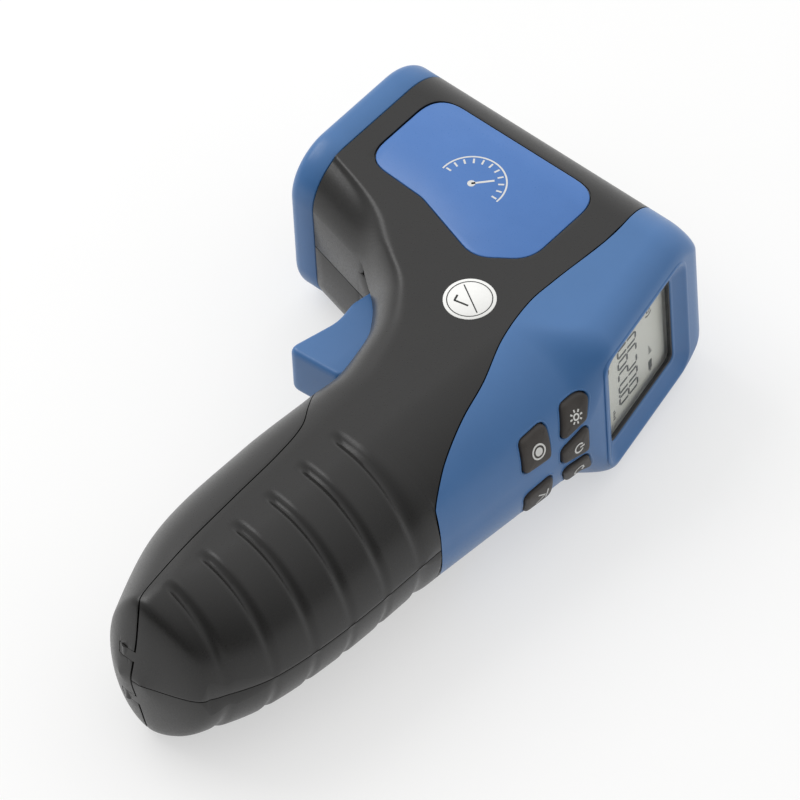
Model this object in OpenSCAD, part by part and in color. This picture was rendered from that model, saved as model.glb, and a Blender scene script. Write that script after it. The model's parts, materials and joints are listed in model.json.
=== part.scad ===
// Laser tachometer in pistol form, lying on its right side.
// +X runs from the nose to the screen, +Y from the handle to the top of the barrel, +Z to the left side.
// The origin lies on the flat right side, below the axis of the barrel.

/* [Body] */
// Thickness across the two halves
body_t = 48; // [47:0.5:52]
// Height of the barrel at the nose
barrel_h = 48; // [47:0.5:51]
// Radius of the long edges of the barrel
barrel_r = 13; // [11:0.5:14]
// Distance from the origin to the front of the nose
nose_reach = 42; // [41:0.5:48]
// Length of the nose ring
ring_l = 8; // [7:0.5:10]
// Slope of the underside of the barrel, in degrees
belly_slope = 14.4; // [12:0.2:16]
// Thickness of the moulded walls
wall = 2.2; // [1.9:0.1:2.5]
// Width of the visible seams
seam_gap = 0.2; // [0.1:0.05:0.4]

/* [Handle] */
// Length of the handle below the barrel
handle_l = 125; // [120:1:135]
// Thickness of the handle
grip_t = 46.6; // [45:0.2:47]
// Rounding of the lower end of the handle
tip_r = 6; // [5:0.5:8]
// Number of grip grooves on each side
groove_n = 6; // [4:1:6]
// Distance from groove to groove
groove_pitch = 11.4; // [10:0.2:12]
// Width of a groove
groove_w = 4; // [3:0.2:5]
// Depth of a groove
groove_d = 0.9; // [0.4:0.1:1.2]
// Distance from the axis of the barrel down to the battery door
door_drop = 61; // [60:0.5:64]
// Diameter of the hinge pin of the door
door_pin_d = 2; // [1.6:0.1:2.4]

/* [Screen and keys] */
// Distance from the origin to the rearmost edge
rear_reach = 53.3; // [52:0.1:56]
// Drop of that edge below the axis of the barrel
apex_drop = 22; // [21:0.5:23]
// Lean of the screen face, in degrees
screen_lean = 12; // [10:0.5:13]
// Lean of the key face, in degrees
key_lean = 4.2; // [3:0.2:5]
// Visible width of the screen
screen_w = 28; // [26:0.5:29]
// Visible height of the screen
screen_h = 29.5; // [27:0.5:30]
// Width of the bevel round the screen
bevel_w = 4.2; // [3:0.2:4.6]
// Depth of the screen recess
recess_d = 1.8; // [1.4:0.1:2.2]
// Distance from the rearmost edge up to the middle of the screen
screen_up = 19.6; // [19:0.2:20]
// Height that the keys stand proud
key_rise = 1.1; // [0.6:0.1:1.4]
// Travel of the keys
key_travel = 1; // [0.6:0.1:1.2]
// Gap round each key
key_gap = 0.35; // [0.25:0.05:0.5]

/* [Trigger] */
// Width of the trigger
trigger_w = 14; // [12:0.5:15]
// Gap on each side of the trigger
trigger_gap = 0.6; // [0.4:0.1:1]
// Diameter of the trigger pin
pin_d = 3; // [2.5:0.1:3.4]
// Radial clearance of the hinge pins in the parts that turn on them
pin_clear = 0.05; // [0.03:0.01:0.08]
// Wire diameter of the return spring
spring_wire = 0.7; // [0.5:0.1:0.9]

/* [Optics] */
// Diameter of the receiver lens
lens_d = 15; // [12:0.5:16]
// Diameter of the laser module
laser_d = 6.5; // [6:0.1:7]
// Wall of the optics tubes
tube_wall = 1.5; // [1.2:0.1:2]
// Thickness of the front window
window_t = 2; // [1.5:0.1:2.5]

/* [Battery] */
// Length of the block battery without its studs
battery_l = 46.4; // [44:0.2:47]
// Width of the battery
battery_w = 26.5; // [25:0.1:27]
// Thickness of the battery
battery_t = 17.5; // [16:0.1:18]

/* [Fasteners] */
// Shank diameter of the case screws
screw_d = 2.6; // [2.2:0.1:3]
// Head diameter of the case screws
screw_head_d = 5.2; // [4.6:0.1:5.6]
// Shank diameter of the board screws
board_screw_d = 2; // [1.8:0.1:2.2]
// Thickness of the circuit boards
board_t = 1.6; // [1.2:0.1:2]

/* [Hidden] */

$fn = 48;
// Small overlap that joins solids, the reach of a cut past its face, the slack of seated parts
bite = 0.6;
over = 1;
slack = 0.15;
fit_clear = 0.05;

mid_z = body_t / 2;
top_y = barrel_h / 2;
ring_x = -nose_reach + ring_l;
tip_y = -top_y - handle_l;
apex_y = -apex_drop;
door_y = -door_drop;
tail_drop = 53;
tail_y = apex_y - tail_drop;

// Front of the handle, from the barrel down: height, then distance along X
belly_end_x = -15.7;
front_line = [[-11, -60], [-20, -29.5], [-28.6, -15.7], [-33.7, -8.1], [-38.8, -3.9], [-45.1, -0.4],
    [-52.9, 1.4], [door_y, 2.2], [door_y - 8, 0.9], [tip_y + 59, -1.3], [tip_y + 30, -0.4],
    [tip_y + 6, 8.7], [tip_y + 2, 13], [tip_y, 16.5]];
// Depth along X of the rounding at the front of the handle
front_round = [[-30, 11], [-50, 13], [tip_y + 59, 19], [tip_y + 20, 18], [tip_y, 12]];
// Seam between the black halves and the rear housing
blue_seam = [[24, 29], [8, 31.5], [-12, 30.3], [-21, 30.1], [-33, 32.5], [-45, 37], [-55.4, 39.6],
    [tail_y + 9.5, 43], [tail_y + 3, 46], [tail_y + 0.8, 47.2]];
// Seam between the black halves and the battery door
door_seam = [[door_y, 2.5], [door_y - 0.6, 3], [door_y - 2, 3.7], [door_y - 5, 4.9], [door_y - 9, 6.9],
    [door_y - 14, 10], [door_y - 20, 13.6], [door_y - 29, 15.2], [tip_y + 43, 16], [tip_y + 23, 17],
    [tip_y + 9, 18.3], [tip_y + 6, 19], [tip_y + 4, 20.1], [tip_y + 2.1, 20.75], [tip_y + 0.9, 20.5],
    [tip_y, 19.95]];

function mix(a, b, t) = a + (b - a) * t;
function limit(t) = max(0, min(1, t));
function ease(t) = let (c = limit(t)) c * c * (3 - 2 * c);
function ramp(y, y0, y1, v0, v1) = mix(v0, v1, ease((y - y0) / (y1 - y0)));

// Smooth curve through points whose heights fall along the list
function span(pts, y, i = 0) = i >= len(pts) - 2 || y >= pts[i + 1][0] ? i : span(pts, y, i + 1);
function steep(pts, i) = let (a = max(0, i - 1), b = min(len(pts) - 1, i + 1))
    (pts[b][1] - pts[a][1]) / (pts[b][0] - pts[a][0]);
function curve(pts, y) = let (
    i = span(pts, y), p = pts[i], q = pts[i + 1], d = q[0] - p[0], t = limit((y - p[0]) / d))
    p[1] * (1 + 2 * t) * pow(1 - t, 2) + steep(pts, i) * d * t * pow(1 - t, 2)
    + q[1] * t * t * (3 - 2 * t) + steep(pts, i + 1) * d * t * t * (t - 1);
// Straight lines through the same kind of points
function chain(pts, y) = let (i = span(pts, y), p = pts[i], q = pts[i + 1])
    mix(p[1], q[1], limit((y - p[0]) / (q[0] - p[0])));

// Side view of the rear: two straight faces that meet in a soft edge below the screen
edge_soft = 1;
rear_top_r = 5;
function screen_line(y) = rear_reach - (y - apex_y) * tan(screen_lean);
function key_line(y) = rear_reach + (y - apex_y) * tan(key_lean);
function rear_line(y) = let (a = screen_line(y), b = key_line(y))
    min(a, b) - pow(max(edge_soft - abs(a - b), 0), 2) / (4 * edge_soft);
back_line = [[tail_y + 8, key_line(tail_y + 8)], [tail_y, key_line(tail_y)], [tip_y + 44, 48.4],
    [tip_y + 22, 45.2], [tip_y + 10, 40.1], [tip_y + 4.3, 35.6], [tip_y, 23]];
back_join_y = tail_y + 4;
function back_x(y) = y > back_join_y
    ? rear_line(y) - corner(top_y - y, rear_top_r, rear_top_r) : curve(back_line, y);

// Rounding of the rear edge: a tight roll beside the screen, a full round behind the keys and grip
roll_x = 8;
roll_z = 6;
round_x = 22;
flat_end_y = apex_y + 5;
round_start_y = apex_y - 8;
function back_rx(y) = ramp(y, flat_end_y, round_start_y, roll_x, round_x);
round_share = 0.93;
full_round_y = tail_y - 8;
function back_rz(y) = ramp(y, flat_end_y, round_start_y, roll_z, round_share * half_t(y))
    + ramp(y, tail_y, full_round_y, 0, (1 - round_share) * half_t(y));

// Half thickness of the body and the depth of each rounding at a point, for a skin set in by w
grip_start_y = -38;
function half_t(y) = ramp(y, grip_start_y, tail_y, mid_z, grip_t / 2);
function corner(d, rx, rz) = let (s = limit(1 - d / rx)) rz * (1 - sqrt(1 - s * s));
function soft_min(a, b) = a <= 0 || b <= 0 ? 0 : a * b / pow(pow(a, 3) + pow(b, 3), 1 / 3);
outside_rate = 8;
function belly_y(x) = -top_y - max(0, x - ring_x) * tan(belly_slope);
function belly_dip(x, y, w) = let (d = y - belly_y(x) - w, r = barrel_r - w)
    d < 0 ? r - outside_rate * d : corner(d, r, r);
function front_dip(x, y, w) = let (d = x - curve(front_line, y) - w, h = half_t(y) - w)
    d < 0 ? h - outside_rate * d : corner(d, curve(front_round, y) - w, h);
function back_dip(x, y, w) = corner(back_x(y) - w - x, back_rx(y) - w, back_rz(y) - w);
function tip_dip(y, w, h) = corner(y - tip_y - w, tip_r - w, h);

// Distance of the skin from the middle plane
function skin(x, y, w) = let (h = half_t(y) - w, r = barrel_r - w)
    h * (1 - corner(top_y - w - y, r, r) / h)
    * max(0, 1 - soft_min(belly_dip(x, y, w), front_dip(x, y, w)) / h)
    * (1 - back_dip(x, y, w) / h) * (1 - tip_dip(y, w, h) / h);

// Rear skin as a distance along X, at a height and a distance from the middle plane
function rear_skin(y, z, w) = let (h = half_t(y) - w, rz = back_rz(y) - w)
    back_x(y) - w - corner(h - abs(z), rz, back_rx(y) - w);

// Grip grooves: rounded troughs that start half way back and run to the rear
groove_x = 21;
groove_fade = 3.5;
groove_lead = 0.5;
groove_fall = 3;
groove_end_x = 46;
fall_high = [tail_y - 0.5, 4];
fall_low = [tip_y + 5, 5];
groove_low_y = tip_y + 13;
function groove_y(i) = groove_low_y + groove_pitch * i;
function trough(t) = abs(t) >= 1 ? 0 : pow(cos(90 * t), 2);
function groove(x, row) = groove_d * ease((x - groove_x + groove_lead) / groove_fade)
    * max([for (i = [0:groove_n - 1]) trough((row - groove_y(i)) / (groove_w / 2))]);
// Rows of the skin fall towards the rear along the grooves
function fall(x, row) = groove_fall * limit((x - groove_x) / (groove_end_x - groove_x))
    * min(ease((fall_high[0] - row) / fall_high[1]), ease((row - fall_low[0]) / fall_low[1]));

// Heights of the rows of the black halves, from the top down, and the least depth of a free edge
edge_t = 0.02;
belly_end_y = belly_y(belly_end_x);
slot_end_y = door_y + 4.6;
arc_steps = [for (a = [75:-15:0]) a];
shoulder_rows = [for (a = arc_steps) top_y - barrel_r + barrel_r * sin(a)];
hip_rows = [for (a = [15:15:90]) -top_y + barrel_r - barrel_r * sin(a)];
belly_rows = [for (t = [1:3]) mix(-top_y, belly_end_y, t / 3)];
slot_rows = [for (t = [0:8]) mix(belly_end_y - 0.5, slot_end_y, t / 8)];
tongue_rows = [slot_end_y - 0.8, door_y + 0.2, door_y, door_y - 0.6, door_y - 2, door_y - 5, door_y - 9];
tail_rows = [tail_y + 0.8, tail_y - 0.3];
groove_rows = [for (i = [groove_n - 1:-1:0]) for (t = [1, 0.5, 0, -0.5, -1]) groove_y(i) + t * groove_w / 2];
tip_rows = [for (t = [5.5, 4.2, 3, 2.1, 1.2, 0.4, 0]) tip_y + t];
shell_rows = concat([top_y, top_y], shoulder_rows, [0], [-top_y + barrel_r], hip_rows, belly_rows, slot_rows,
    tongue_rows, tail_rows, groove_rows, tip_rows);
shell_cols = 10;

// The same rows on the inner skin, drawn in from the top, the belly and the tip
function inner_row(y, w) = chain([[top_y, top_y - w], [top_y - barrel_r, top_y - barrel_r],
    [-top_y + barrel_r, -top_y + barrel_r], [-top_y, -top_y + w], [belly_end_y, belly_end_y + w],
    [belly_end_y - 8, belly_end_y - 8], [tip_y + 3 * tip_r, tip_y + 3 * tip_r], [tip_y, tip_y + w]], y);

// Front edge of a black half: nose seam, belly, trigger slot, bridge below the trigger, door seam
slot_z = trigger_w / 2 + trigger_gap;
bridge_z = 3;
hinge_clear = 0.3;
hinge_clear_y = tip_y + 6.5;
hinge_blend = 2.5;
function at_hinge(y) = hinge_clear * ease((hinge_clear_y - y) / hinge_blend);
function is_belly(row) = row <= -top_y && row >= belly_end_y;
function is_bridge(row) = row < slot_end_y && row > door_y;
function round_edge(y, z, w) = let (h = half_t(y) - w)
    curve(front_line, y) + w + corner(h - z, h, curve(front_round, y) - w);
function edge_x(row, y, w) = row > -top_y ? ring_x + seam_gap / 2
    : is_belly(row) ? ring_x + seam_gap / 2 + (-top_y - row) / tan(belly_slope)
    : row >= slot_end_y ? round_edge(y, slot_z, w)
    : is_bridge(row) ? round_edge(y, bridge_z, w)
    : curve(door_seam, y) + seam_gap / 2 + at_hinge(y);

// One point of a black half: the first row and the free rear edge lie on the middle plane
function shell_point(i, j, w) = let (
    row = shell_rows[i], y0 = inner_row(row, w), at_tail = row < tail_y,
    x0 = edge_x(row, y0, w),
    x1 = at_tail ? back_x(y0 - fall(groove_end_x, row)) - w : curve(blue_seam, y0) - seam_gap / 2,
    x = mix(x0, x1, (1 - cos(180 * j / shell_cols)) / 2),
    y = y0 - fall(x, row),
    flat = i == 0 || (at_tail && j == shell_cols) || row == tip_y)
    [x, y, flat ? 0 : max(edge_t, skin(x, y, w) - (w > 0 ? 0 : groove(x, row)))];

// The edge point in front of the first column, on the middle plane where the halves meet
function lip_point(i, w) = let (row = shell_rows[i], a = shell_point(i, 0, 0), b = shell_point(i, 0, wall))
    is_belly(row) ? [shell_point(i, 0, w)[0], shell_point(i, 0, w)[1], 0]
    : is_bridge(row) ? [curve(front_line, row) + w, row, 0]
    : mix(a, b, w > 0 ? 2 / 3 : 1 / 3);

// Faces of a closed skin: loops of equal length, joined loop to loop and capped at both ends
function loft_faces(rows, cols) = concat(
    [for (i = [0:rows - 2]) for (j = [0:cols - 1]) let (k = (j + 1) % cols)
        [i * cols + j, i * cols + k, (i + 1) * cols + k]],
    [for (i = [0:rows - 2]) for (j = [0:cols - 1]) let (k = (j + 1) % cols)
        [i * cols + j, (i + 1) * cols + k, (i + 1) * cols + j]],
    [[for (j = [cols - 1:-1:0]) j]],
    [[for (j = [0:cols - 1]) (rows - 1) * cols + j]]);
module loft(loops) {
    polyhedron([for (ring = loops) for (p = ring) p], loft_faces(len(loops), len(loops[0])));
}

// Faces of a grid of points, and of the strip between two edges; the last cell of a closed top is a point
function grid_faces(rows, cols, base, turn, open_top) = [
    for (i = [0:rows - 2]) for (j = [0:cols - 2]) for (k = [0, 1])
        let (a = base + i * cols + j, b = a + 1, c = a + cols + 1, d = a + cols)
        if (open_top || i > 0 || j < cols - 2)
            k == 0 ? (turn ? [a, c, b] : [a, b, c]) : (turn ? [a, d, c] : [a, c, d])];
function strip_faces(p, q, turn) = [for (i = [0:len(p) - 2]) for (k = [0, 1])
    k == 0 ? (turn ? [p[i], q[i + 1], p[i + 1]] : [p[i], p[i + 1], q[i + 1]])
    : (turn ? [p[i], q[i], q[i + 1]] : [p[i], q[i + 1], q[i]])];

// A wall between an outer and an inner grid, mirrored in the middle plane.
// Its first column is closed by a rim, as are an open top and an open low end. Its last column lies on the
// plane, and so do end rows that are not open. The columns run to the rear or, turned round, to the front.
module mirrored_wall(outer, inner, open_top, open_low, turned_round) {
    rows = len(outer);
    cols = len(outer[0]);
    n = rows * cols;
    half = concat([for (r = outer) for (p = r) p], [for (r = inner) for (p = r) p]);
    first = [for (i = [0:rows - 1]) i * cols];
    low = [for (j = [0:cols - 1]) (rows - 1) * cols + j];
    high = [for (j = [0:cols - 1]) j];
    shift = function (list, d) [for (k = list) k + d];
    sides = function (base, turn) concat(
        grid_faces(rows, cols, base, turn, open_top), grid_faces(rows, cols, base + n, !turn, open_top),
        strip_faces(shift(first, base), shift(first, base + n), turn),
        open_low ? strip_faces(shift(low, base), shift(low, base + n), turn) : [],
        open_top ? strip_faces(shift(high, base), shift(high, base + n), !turn) : []);
    translate([0, 0, mid_z])
        polyhedron(concat(half, [for (p = half) [p[0], p[1], p[2] == 0 ? 0 : -p[2]]]),
            concat(sides(0, turned_round), sides(2 * n, !turned_round)));
}

// Outline with rounded corners, from points that each give a radius
function unit(v) = v / norm(v);
corner_steps = 4;
function rounded(pts) = [for (i = [0:len(pts) - 1]) let (
    n = len(pts), c = [pts[i][0], pts[i][1]], r = pts[i][2],
    before = pts[(i + n - 1) % n], after = pts[(i + 1) % n],
    u = unit([before[0], before[1]] - c), v = unit([after[0], after[1]] - c),
    reach = r / tan(acos(max(-1, min(1, u * v))) / 2), a = c + u * reach, b = c + v * reach)
    for (k = [0:corner_steps]) let (t = k / corner_steps)
        a * pow(1 - t, 2) + c * 2 * t * (1 - t) + b * t * t];
function rounded_box(w, h, r) = rounded(
    [[-w / 2, -h / 2, r], [w / 2, -h / 2, r], [w / 2, h / 2, r], [-w / 2, h / 2, r]]);
// A box whose corners are true arcs, for pieces that fit inside the barrel
function sign_of(v) = v < 0 ? -1 : 1;
arc_box_steps = 8;
function arc_box(w, h, r) = [for (q = [0:3]) for (k = [0:arc_box_steps])
    let (a = 90 * (q + k / arc_box_steps), m = 90 * q + 45)
    [sign_of(cos(m)) * (w / 2 - r) + r * cos(a), sign_of(sin(m)) * (h / 2 - r) + r * sin(a)]];
// The same outline drawn in by d, for outlines that run anticlockwise
function drawn_in(pts, d) = [for (i = [0:len(pts) - 1]) let (
    n = len(pts), t = unit(pts[(i + 1) % n] - pts[(i + n - 1) % n]))
    pts[i] - d * [t[1], -t[0]]];

// Places on the screen face, by depth below it, and along the barrel
screen_mid = [rear_reach - screen_up * sin(screen_lean), apex_y + screen_up * cos(screen_lean), mid_z];
module on_screen(depth) {
    translate(screen_mid) rotate([0, 0, screen_lean]) rotate([0, 90, 0]) translate([0, 0, -depth]) children();
}
module along_x(x) {
    translate([x, 0, mid_z]) rotate([0, 90, 0]) children();
}

// Case screws: places on the side view, and the depths of their seats below the middle plane
screw_places = [[-22, 16.4], [22, 15], [14, -21], [32.5, tail_y - 11], [32.5, tip_y + 28.8]];
screw_seat = 12;
screw_reach = 8;
screw_head_t = 2;
boss_wall = 1.6;
screw_clear = 0.15;
boss_d = screw_head_d + 2 * screw_clear + 2 * boss_wall;
post_d = screw_d + 2 * boss_wall;

// Hinges of the trigger and of the battery door
trigger_hinge = [-3, belly_end_y - 2.8];
knuckle_r = 1.8;
knuckle_w = 12;
ear_gap = 0.3;
ear_w = 2.6;
hinge_room = 3.2;
notch_w = ear_w + 2 * ear_gap;
door_hinge = [17.6, tip_y + 2.1];
pin_boss_r = pin_d / 2 + boss_wall;
pin_boss_l = 6;
lug_l = 12;
lug_t = 2;
lug_foot = 4;
ear_l = 6;
ear_t = 2.6;
ear_top = 1.6;
pin_hold = 0.04;

// Screw bosses, hinge lugs and the switch rest that stand inside a black half
function lowest_skin(p, r) = min([for (a = [0:45:315]) skin(p[0] + r * cos(a), p[1] + r * sin(a), wall)]);
module half_posts(d, base_z) {
    for (p = screw_places)
        translate([p[0], p[1], base_z]) cylinder(d = d, h = lowest_skin(p, d / 2) + bite - base_z);
}
module half_lugs() {
    lug = [trigger_hinge[0], trigger_hinge[1] - lug_t / 2, slot_z];
    ear_z = knuckle_w / 2 + ear_gap;
    translate([trigger_hinge[0], trigger_hinge[1], slot_z]) cylinder(r = pin_boss_r, h = pin_boss_l);
    translate(lug) cube([lug_l, lug_t, pin_boss_l]);
    translate(lug + [lug_foot, 0, 0])
        cube([lug_l - lug_foot, lug_t, half_t(trigger_hinge[1]) - wall + bite - slot_z]);
    translate([door_hinge[0], door_hinge[1], ear_z]) cylinder(r = knuckle_r, h = ear_w);
    translate([door_hinge[0], door_hinge[1] + ear_top - ear_t, ear_z]) cube([ear_l, ear_t, ear_w]);
}
module half_bores() {
    translate([trigger_hinge[0], trigger_hinge[1], slot_z - over])
        cylinder(d = pin_d + pin_hold, h = pin_boss_l + 2 * over);
    translate([door_hinge[0], door_hinge[1], 0])
        cylinder(d = door_pin_d + pin_hold, h = knuckle_w / 2 + ear_gap + ear_w + over);
}
module half_skin() {
    loft([for (i = [0:len(shell_rows) - 1]) concat(
        [lip_point(i, 0)], [for (j = [0:shell_cols]) shell_point(i, j, 0)],
        [for (j = [shell_cols:-1:0]) shell_point(i, j, wall)], [lip_point(i, wall)])]);
}

label_d = 0.8;
label_gap = 0.35;
label_sunk = 0.1;
label_outline = rounded([[-28.3, -11.6, 7], [-10, -12.6, 10], [11, -19, 9], [22, -11, 9], [21.9, 14.5, 8],
    [-28.3, 14.5, 8]]);
sticker_d = 12.4;
sticker_t = 0.15;
sticker_place = [19, -29];

module left_shell() {
    color("#2f2e2d") translate([0, 0, mid_z]) difference() {
        union() {
            half_skin();
            half_posts(post_d, 0);
            half_lugs();
        }
        half_bores();
        for (p = screw_places)
            translate([p[0], p[1], -over])
                cylinder(d = screw_d + 2 * screw_clear, h = screw_reach + 3 * over);
        translate([0, 0, mid_z - label_d]) linear_extrude(label_d + over) polygon(label_outline);
    }
}

module right_shell() {
    color("#2f2e2d") translate([0, 0, mid_z]) mirror([0, 0, 1]) difference() {
        union() {
            half_skin();
            half_posts(boss_d, 0);
            half_lugs();
            switch_rest();
        }
        half_bores();
        for (p = screw_places) {
            translate([p[0], p[1], -over]) cylinder(d = screw_d + 2 * screw_clear, h = mid_z);
            translate([p[0], p[1], screw_seat]) cylinder(d = screw_head_d + 2 * screw_clear, h = mid_z);
        }
    }
}

// Rear housing: rows from the top down, then the tail that tapers out on the back of the grip
housing_cols = 9;
screen_rows = [6, -4, -13, flat_end_y];
turn_rows = [for (t = [1:6]) mix(flat_end_y, round_start_y, t / 6)];
key_rows = [for (t = [1:6]) mix(round_start_y, tail_y + 13, t / 6)];
end_rows = [tail_y + 9, tail_y + 5, tail_y + 2.4, tail_y + 1];
housing_rows = concat([top_y], [top_y], shoulder_rows, screen_rows, turn_rows, key_rows, end_rows);
tail_solid = 7;
tail_fall = 1.05;
tail_fall_y = tail_y + 7;
tail_fall_l = 6;
function housing_row(row, w) = w == 0 ? row
    : chain([[top_y, top_y - w], [top_y - barrel_r, top_y - barrel_r], [tail_y + 15, tail_y + 15],
        [tail_y, tail_y + tail_solid]], row);
function housing_point(i, j, w) = let (
    row = housing_rows[i], y0 = housing_row(row, w),
    x0 = curve(blue_seam, y0) + seam_gap / 2, x1 = back_x(y0) - w,
    t = (1 - cos(180 * min(1, j / housing_cols))) / 2,
    y = y0 - (w == 0 ? tail_fall * t * ease((tail_fall_y - row) / tail_fall_l) : 0),
    x = mix(x0, back_x(y) - w, t))
    [x, y, i == 0 || j > housing_cols ? 0 : skin(min(x, x1 - 0.001), y, w)];
function housing_grid(w) = [for (i = [0:len(housing_rows) - 1])
    [for (j = [0:housing_cols + 1]) housing_point(i, j, w)]];

// Screen stack, as depths below the screen face
floor_t = 1.4;
floor_edge = 0.8;
floor_under = 0.4;
pane_t = 1;
glass_t = 2.2;
light_t = 2;
pane_z = recess_d + floor_t;
glass_z = pane_z + pane_t;
light_z = glass_z + glass_t;
board_z = light_z + light_t;
glass_edge = 1.5;
glass_w = screen_w + 2 * glass_edge;
glass_h = screen_h + 2 * glass_edge;
frame_wall = 1.4;
frame_w = glass_w + 2 * (slack + frame_wall);
frame_h = glass_h + 2 * (slack + frame_wall);
bezel_w = screen_w + 2 * bevel_w;
bezel_h = screen_h + 2 * bevel_w;
bezel_r = 5;
screen_r = 2;
recess_step = 0.5;
recess_over = 1.2;
post_wall = 1.3;
board_head_d = board_screw_d + 1.6;
board_head_t = 1.3;
board_screw_reach = 3.5;
post_gap = 0.4;
post_x = 11;
screw_post_d = board_screw_d + 2 * post_wall;
screen_posts = [for (sx = [-1, 1]) [sx * post_x, frame_h / 2 + screw_post_d / 2 + post_gap]];

recess_foot = rounded_box(screen_w + 2 * recess_step, screen_h + 2 * recess_step, screen_r);
recess_mouth = rounded_box(bezel_w, bezel_h, bezel_r);
function recess_ring(t) = [for (k = [0:len(recess_foot) - 1])
    concat(mix(recess_foot[k], recess_mouth[k], t), [t * recess_d])];

// Key layout: height and distance from the middle plane of each corner, anticlockwise seen from the left
power_corners = [[-4.4, -28.2, 1.6], [4.4, -28.2, 1.6], [2.3, -36.7, 1.6], [-2.3, -36.7, 1.6]];
upper_corners = [[6.1, -28.4, 1.6], [13.3, -25.9, 1.8], [13, -33.4, 1.8], [4.9, -36.7, 1.6]];
lower_corners = [[3.2, -40.2, 1.6], [12.7, -39, 1.8], [12.1, -47.2, 1.8], [3.9, -48.8, 1.6]];
function flipped(pts) = [for (i = [len(pts) - 1:-1:0]) [-pts[i][0], pts[i][1], pts[i][2]]];
function turned(pts) = [for (i = [len(pts) - 1:-1:0]) pts[i]];
key_outlines = [rounded(turned(upper_corners)), rounded(turned(power_corners)),
    rounded(turned(flipped(upper_corners))), rounded(turned(lower_corners)),
    rounded(turned(flipped(lower_corners)))];
key_flange = 0.7;
flange_t = 1;
flange_gap = 0.4;
plunger_d = 3.6;
plunger_gap = 0.2;
plunger_bite = 0.3;
// Rim of a key: how far each ring is drawn in and lies below the top
key_edge = [[1.3, 0], [0.45, 0.12], [0, 0.5]];
key_crown = 0.25;
sheet_t = 1;
sheet_edge = 1;
key_deep_y = -48;
key_deep_z = 14.2;
flange_room = 0.4;
sheet_x = rear_skin(key_deep_y, key_deep_z, wall) - flange_gap - flange_t - key_travel - flange_room;
key_board_x = sheet_x - sheet_t;
key_posts = [[apex_y - 2.9, 0], [apex_y - 30.5, -8], [apex_y - 30.5, 8]];

module rear_housing() {
    color("#3f6da3") difference() {
        union() {
            mirrored_wall(housing_grid(0), housing_grid(wall), false, true, false);
            on_screen(pane_z)
                linear_extrude(pane_z - floor_under)
                    polygon(rounded_box(bezel_w + 2 * floor_edge, bezel_h + 2 * floor_edge, bezel_r));
            for (p = screen_posts)
                on_screen(board_z) translate(p) cylinder(d = screw_post_d, h = board_z - wall + bite);
            for (p = key_posts)
                translate([key_board_x, p[0], mid_z + p[1]]) rotate([0, 90, 0]) cylinder(d = screw_post_d,
                    h = rear_skin(p[0], abs(p[1]) + screw_post_d / 2, wall) + bite - key_board_x);
        }
        on_screen(recess_d) loft([for (t = [recess_over, 0]) recess_ring(t)]);
        on_screen(pane_z + over) linear_extrude(pane_z + over)
            polygon(rounded_box(screen_w, screen_h, screen_r));
        for (outline = key_outlines)
            translate([key_board_x + over, 0, mid_z]) rotate([0, 90, 0]) linear_extrude(rear_reach)
                polygon([for (p = drawn_in(outline, -key_gap)) [-p[0], p[1]]]);
        for (p = screen_posts)
            on_screen(board_z + over) translate(p)
                cylinder(d = board_screw_d + 2 * fit_clear, h = board_z - wall);
        for (p = key_posts)
            translate([key_board_x - over, p[0], mid_z + p[1]]) rotate([0, 90, 0])
                cylinder(d = board_screw_d + 2 * fit_clear, h = board_screw_reach + 1.5 * over);
    }
}

// A key: soft rim on top, a flange behind the housing wall and a plunger towards its contact
function key_ring(outline, d, w, lift) = [for (p = drawn_in(outline, d))
    [rear_skin(p[1], p[0], w) + lift, p[1], mid_z + p[0]]];
function middle(pts) = [for (k = [0:2]) [for (p = pts) p[k]] * [for (p = pts) 1] / len(pts)];
module key_cap(outline) {
    n = len(outline);
    rings = concat([for (e = key_edge) key_ring(outline, e[0], 0, key_rise - e[1])],
        [key_ring(outline, 0, wall, -flange_gap), key_ring(outline, -key_flange, wall, -flange_gap),
        key_ring(outline, -key_flange, wall, -flange_gap - flange_t)]);
    count = len(rings);
    crown = middle(rings[0]) + [key_crown, 0, 0];
    base = middle(rings[count - 1]) + [key_crown, 0, 0];
    plunger_x = sheet_x + key_travel + plunger_gap;
    side = [for (i = [0:count - 2]) for (j = [0:n - 1]) for (k = [0, 1]) let (m = (j + 1) % n)
        k == 0 ? [i * n + j, (i + 1) * n + m, i * n + m] : [i * n + j, (i + 1) * n + j, (i + 1) * n + m]];
    caps = concat([for (j = [0:n - 1]) [n * count, j, (j + 1) % n]],
        [for (j = [0:n - 1]) [n * count + 1, (count - 1) * n + (j + 1) % n, (count - 1) * n + j]]);
    color("#3d3834") union() {
        polyhedron(concat([for (r = rings) for (p = r) p], [crown, base]), concat(side, caps));
        translate([plunger_x, base[1], base[2]]) rotate([0, 90, 0])
            cylinder(d = plunger_d, h = base[0] + plunger_bite - plunger_x);
    }
}
module key_light() { key_cap(key_outlines[0]); }
module key_power() { key_cap(key_outlines[1]); }
module key_auto() { key_cap(key_outlines[2]); }
module key_record() { key_cap(key_outlines[3]); }
module key_max() { key_cap(key_outlines[4]); }

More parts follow.
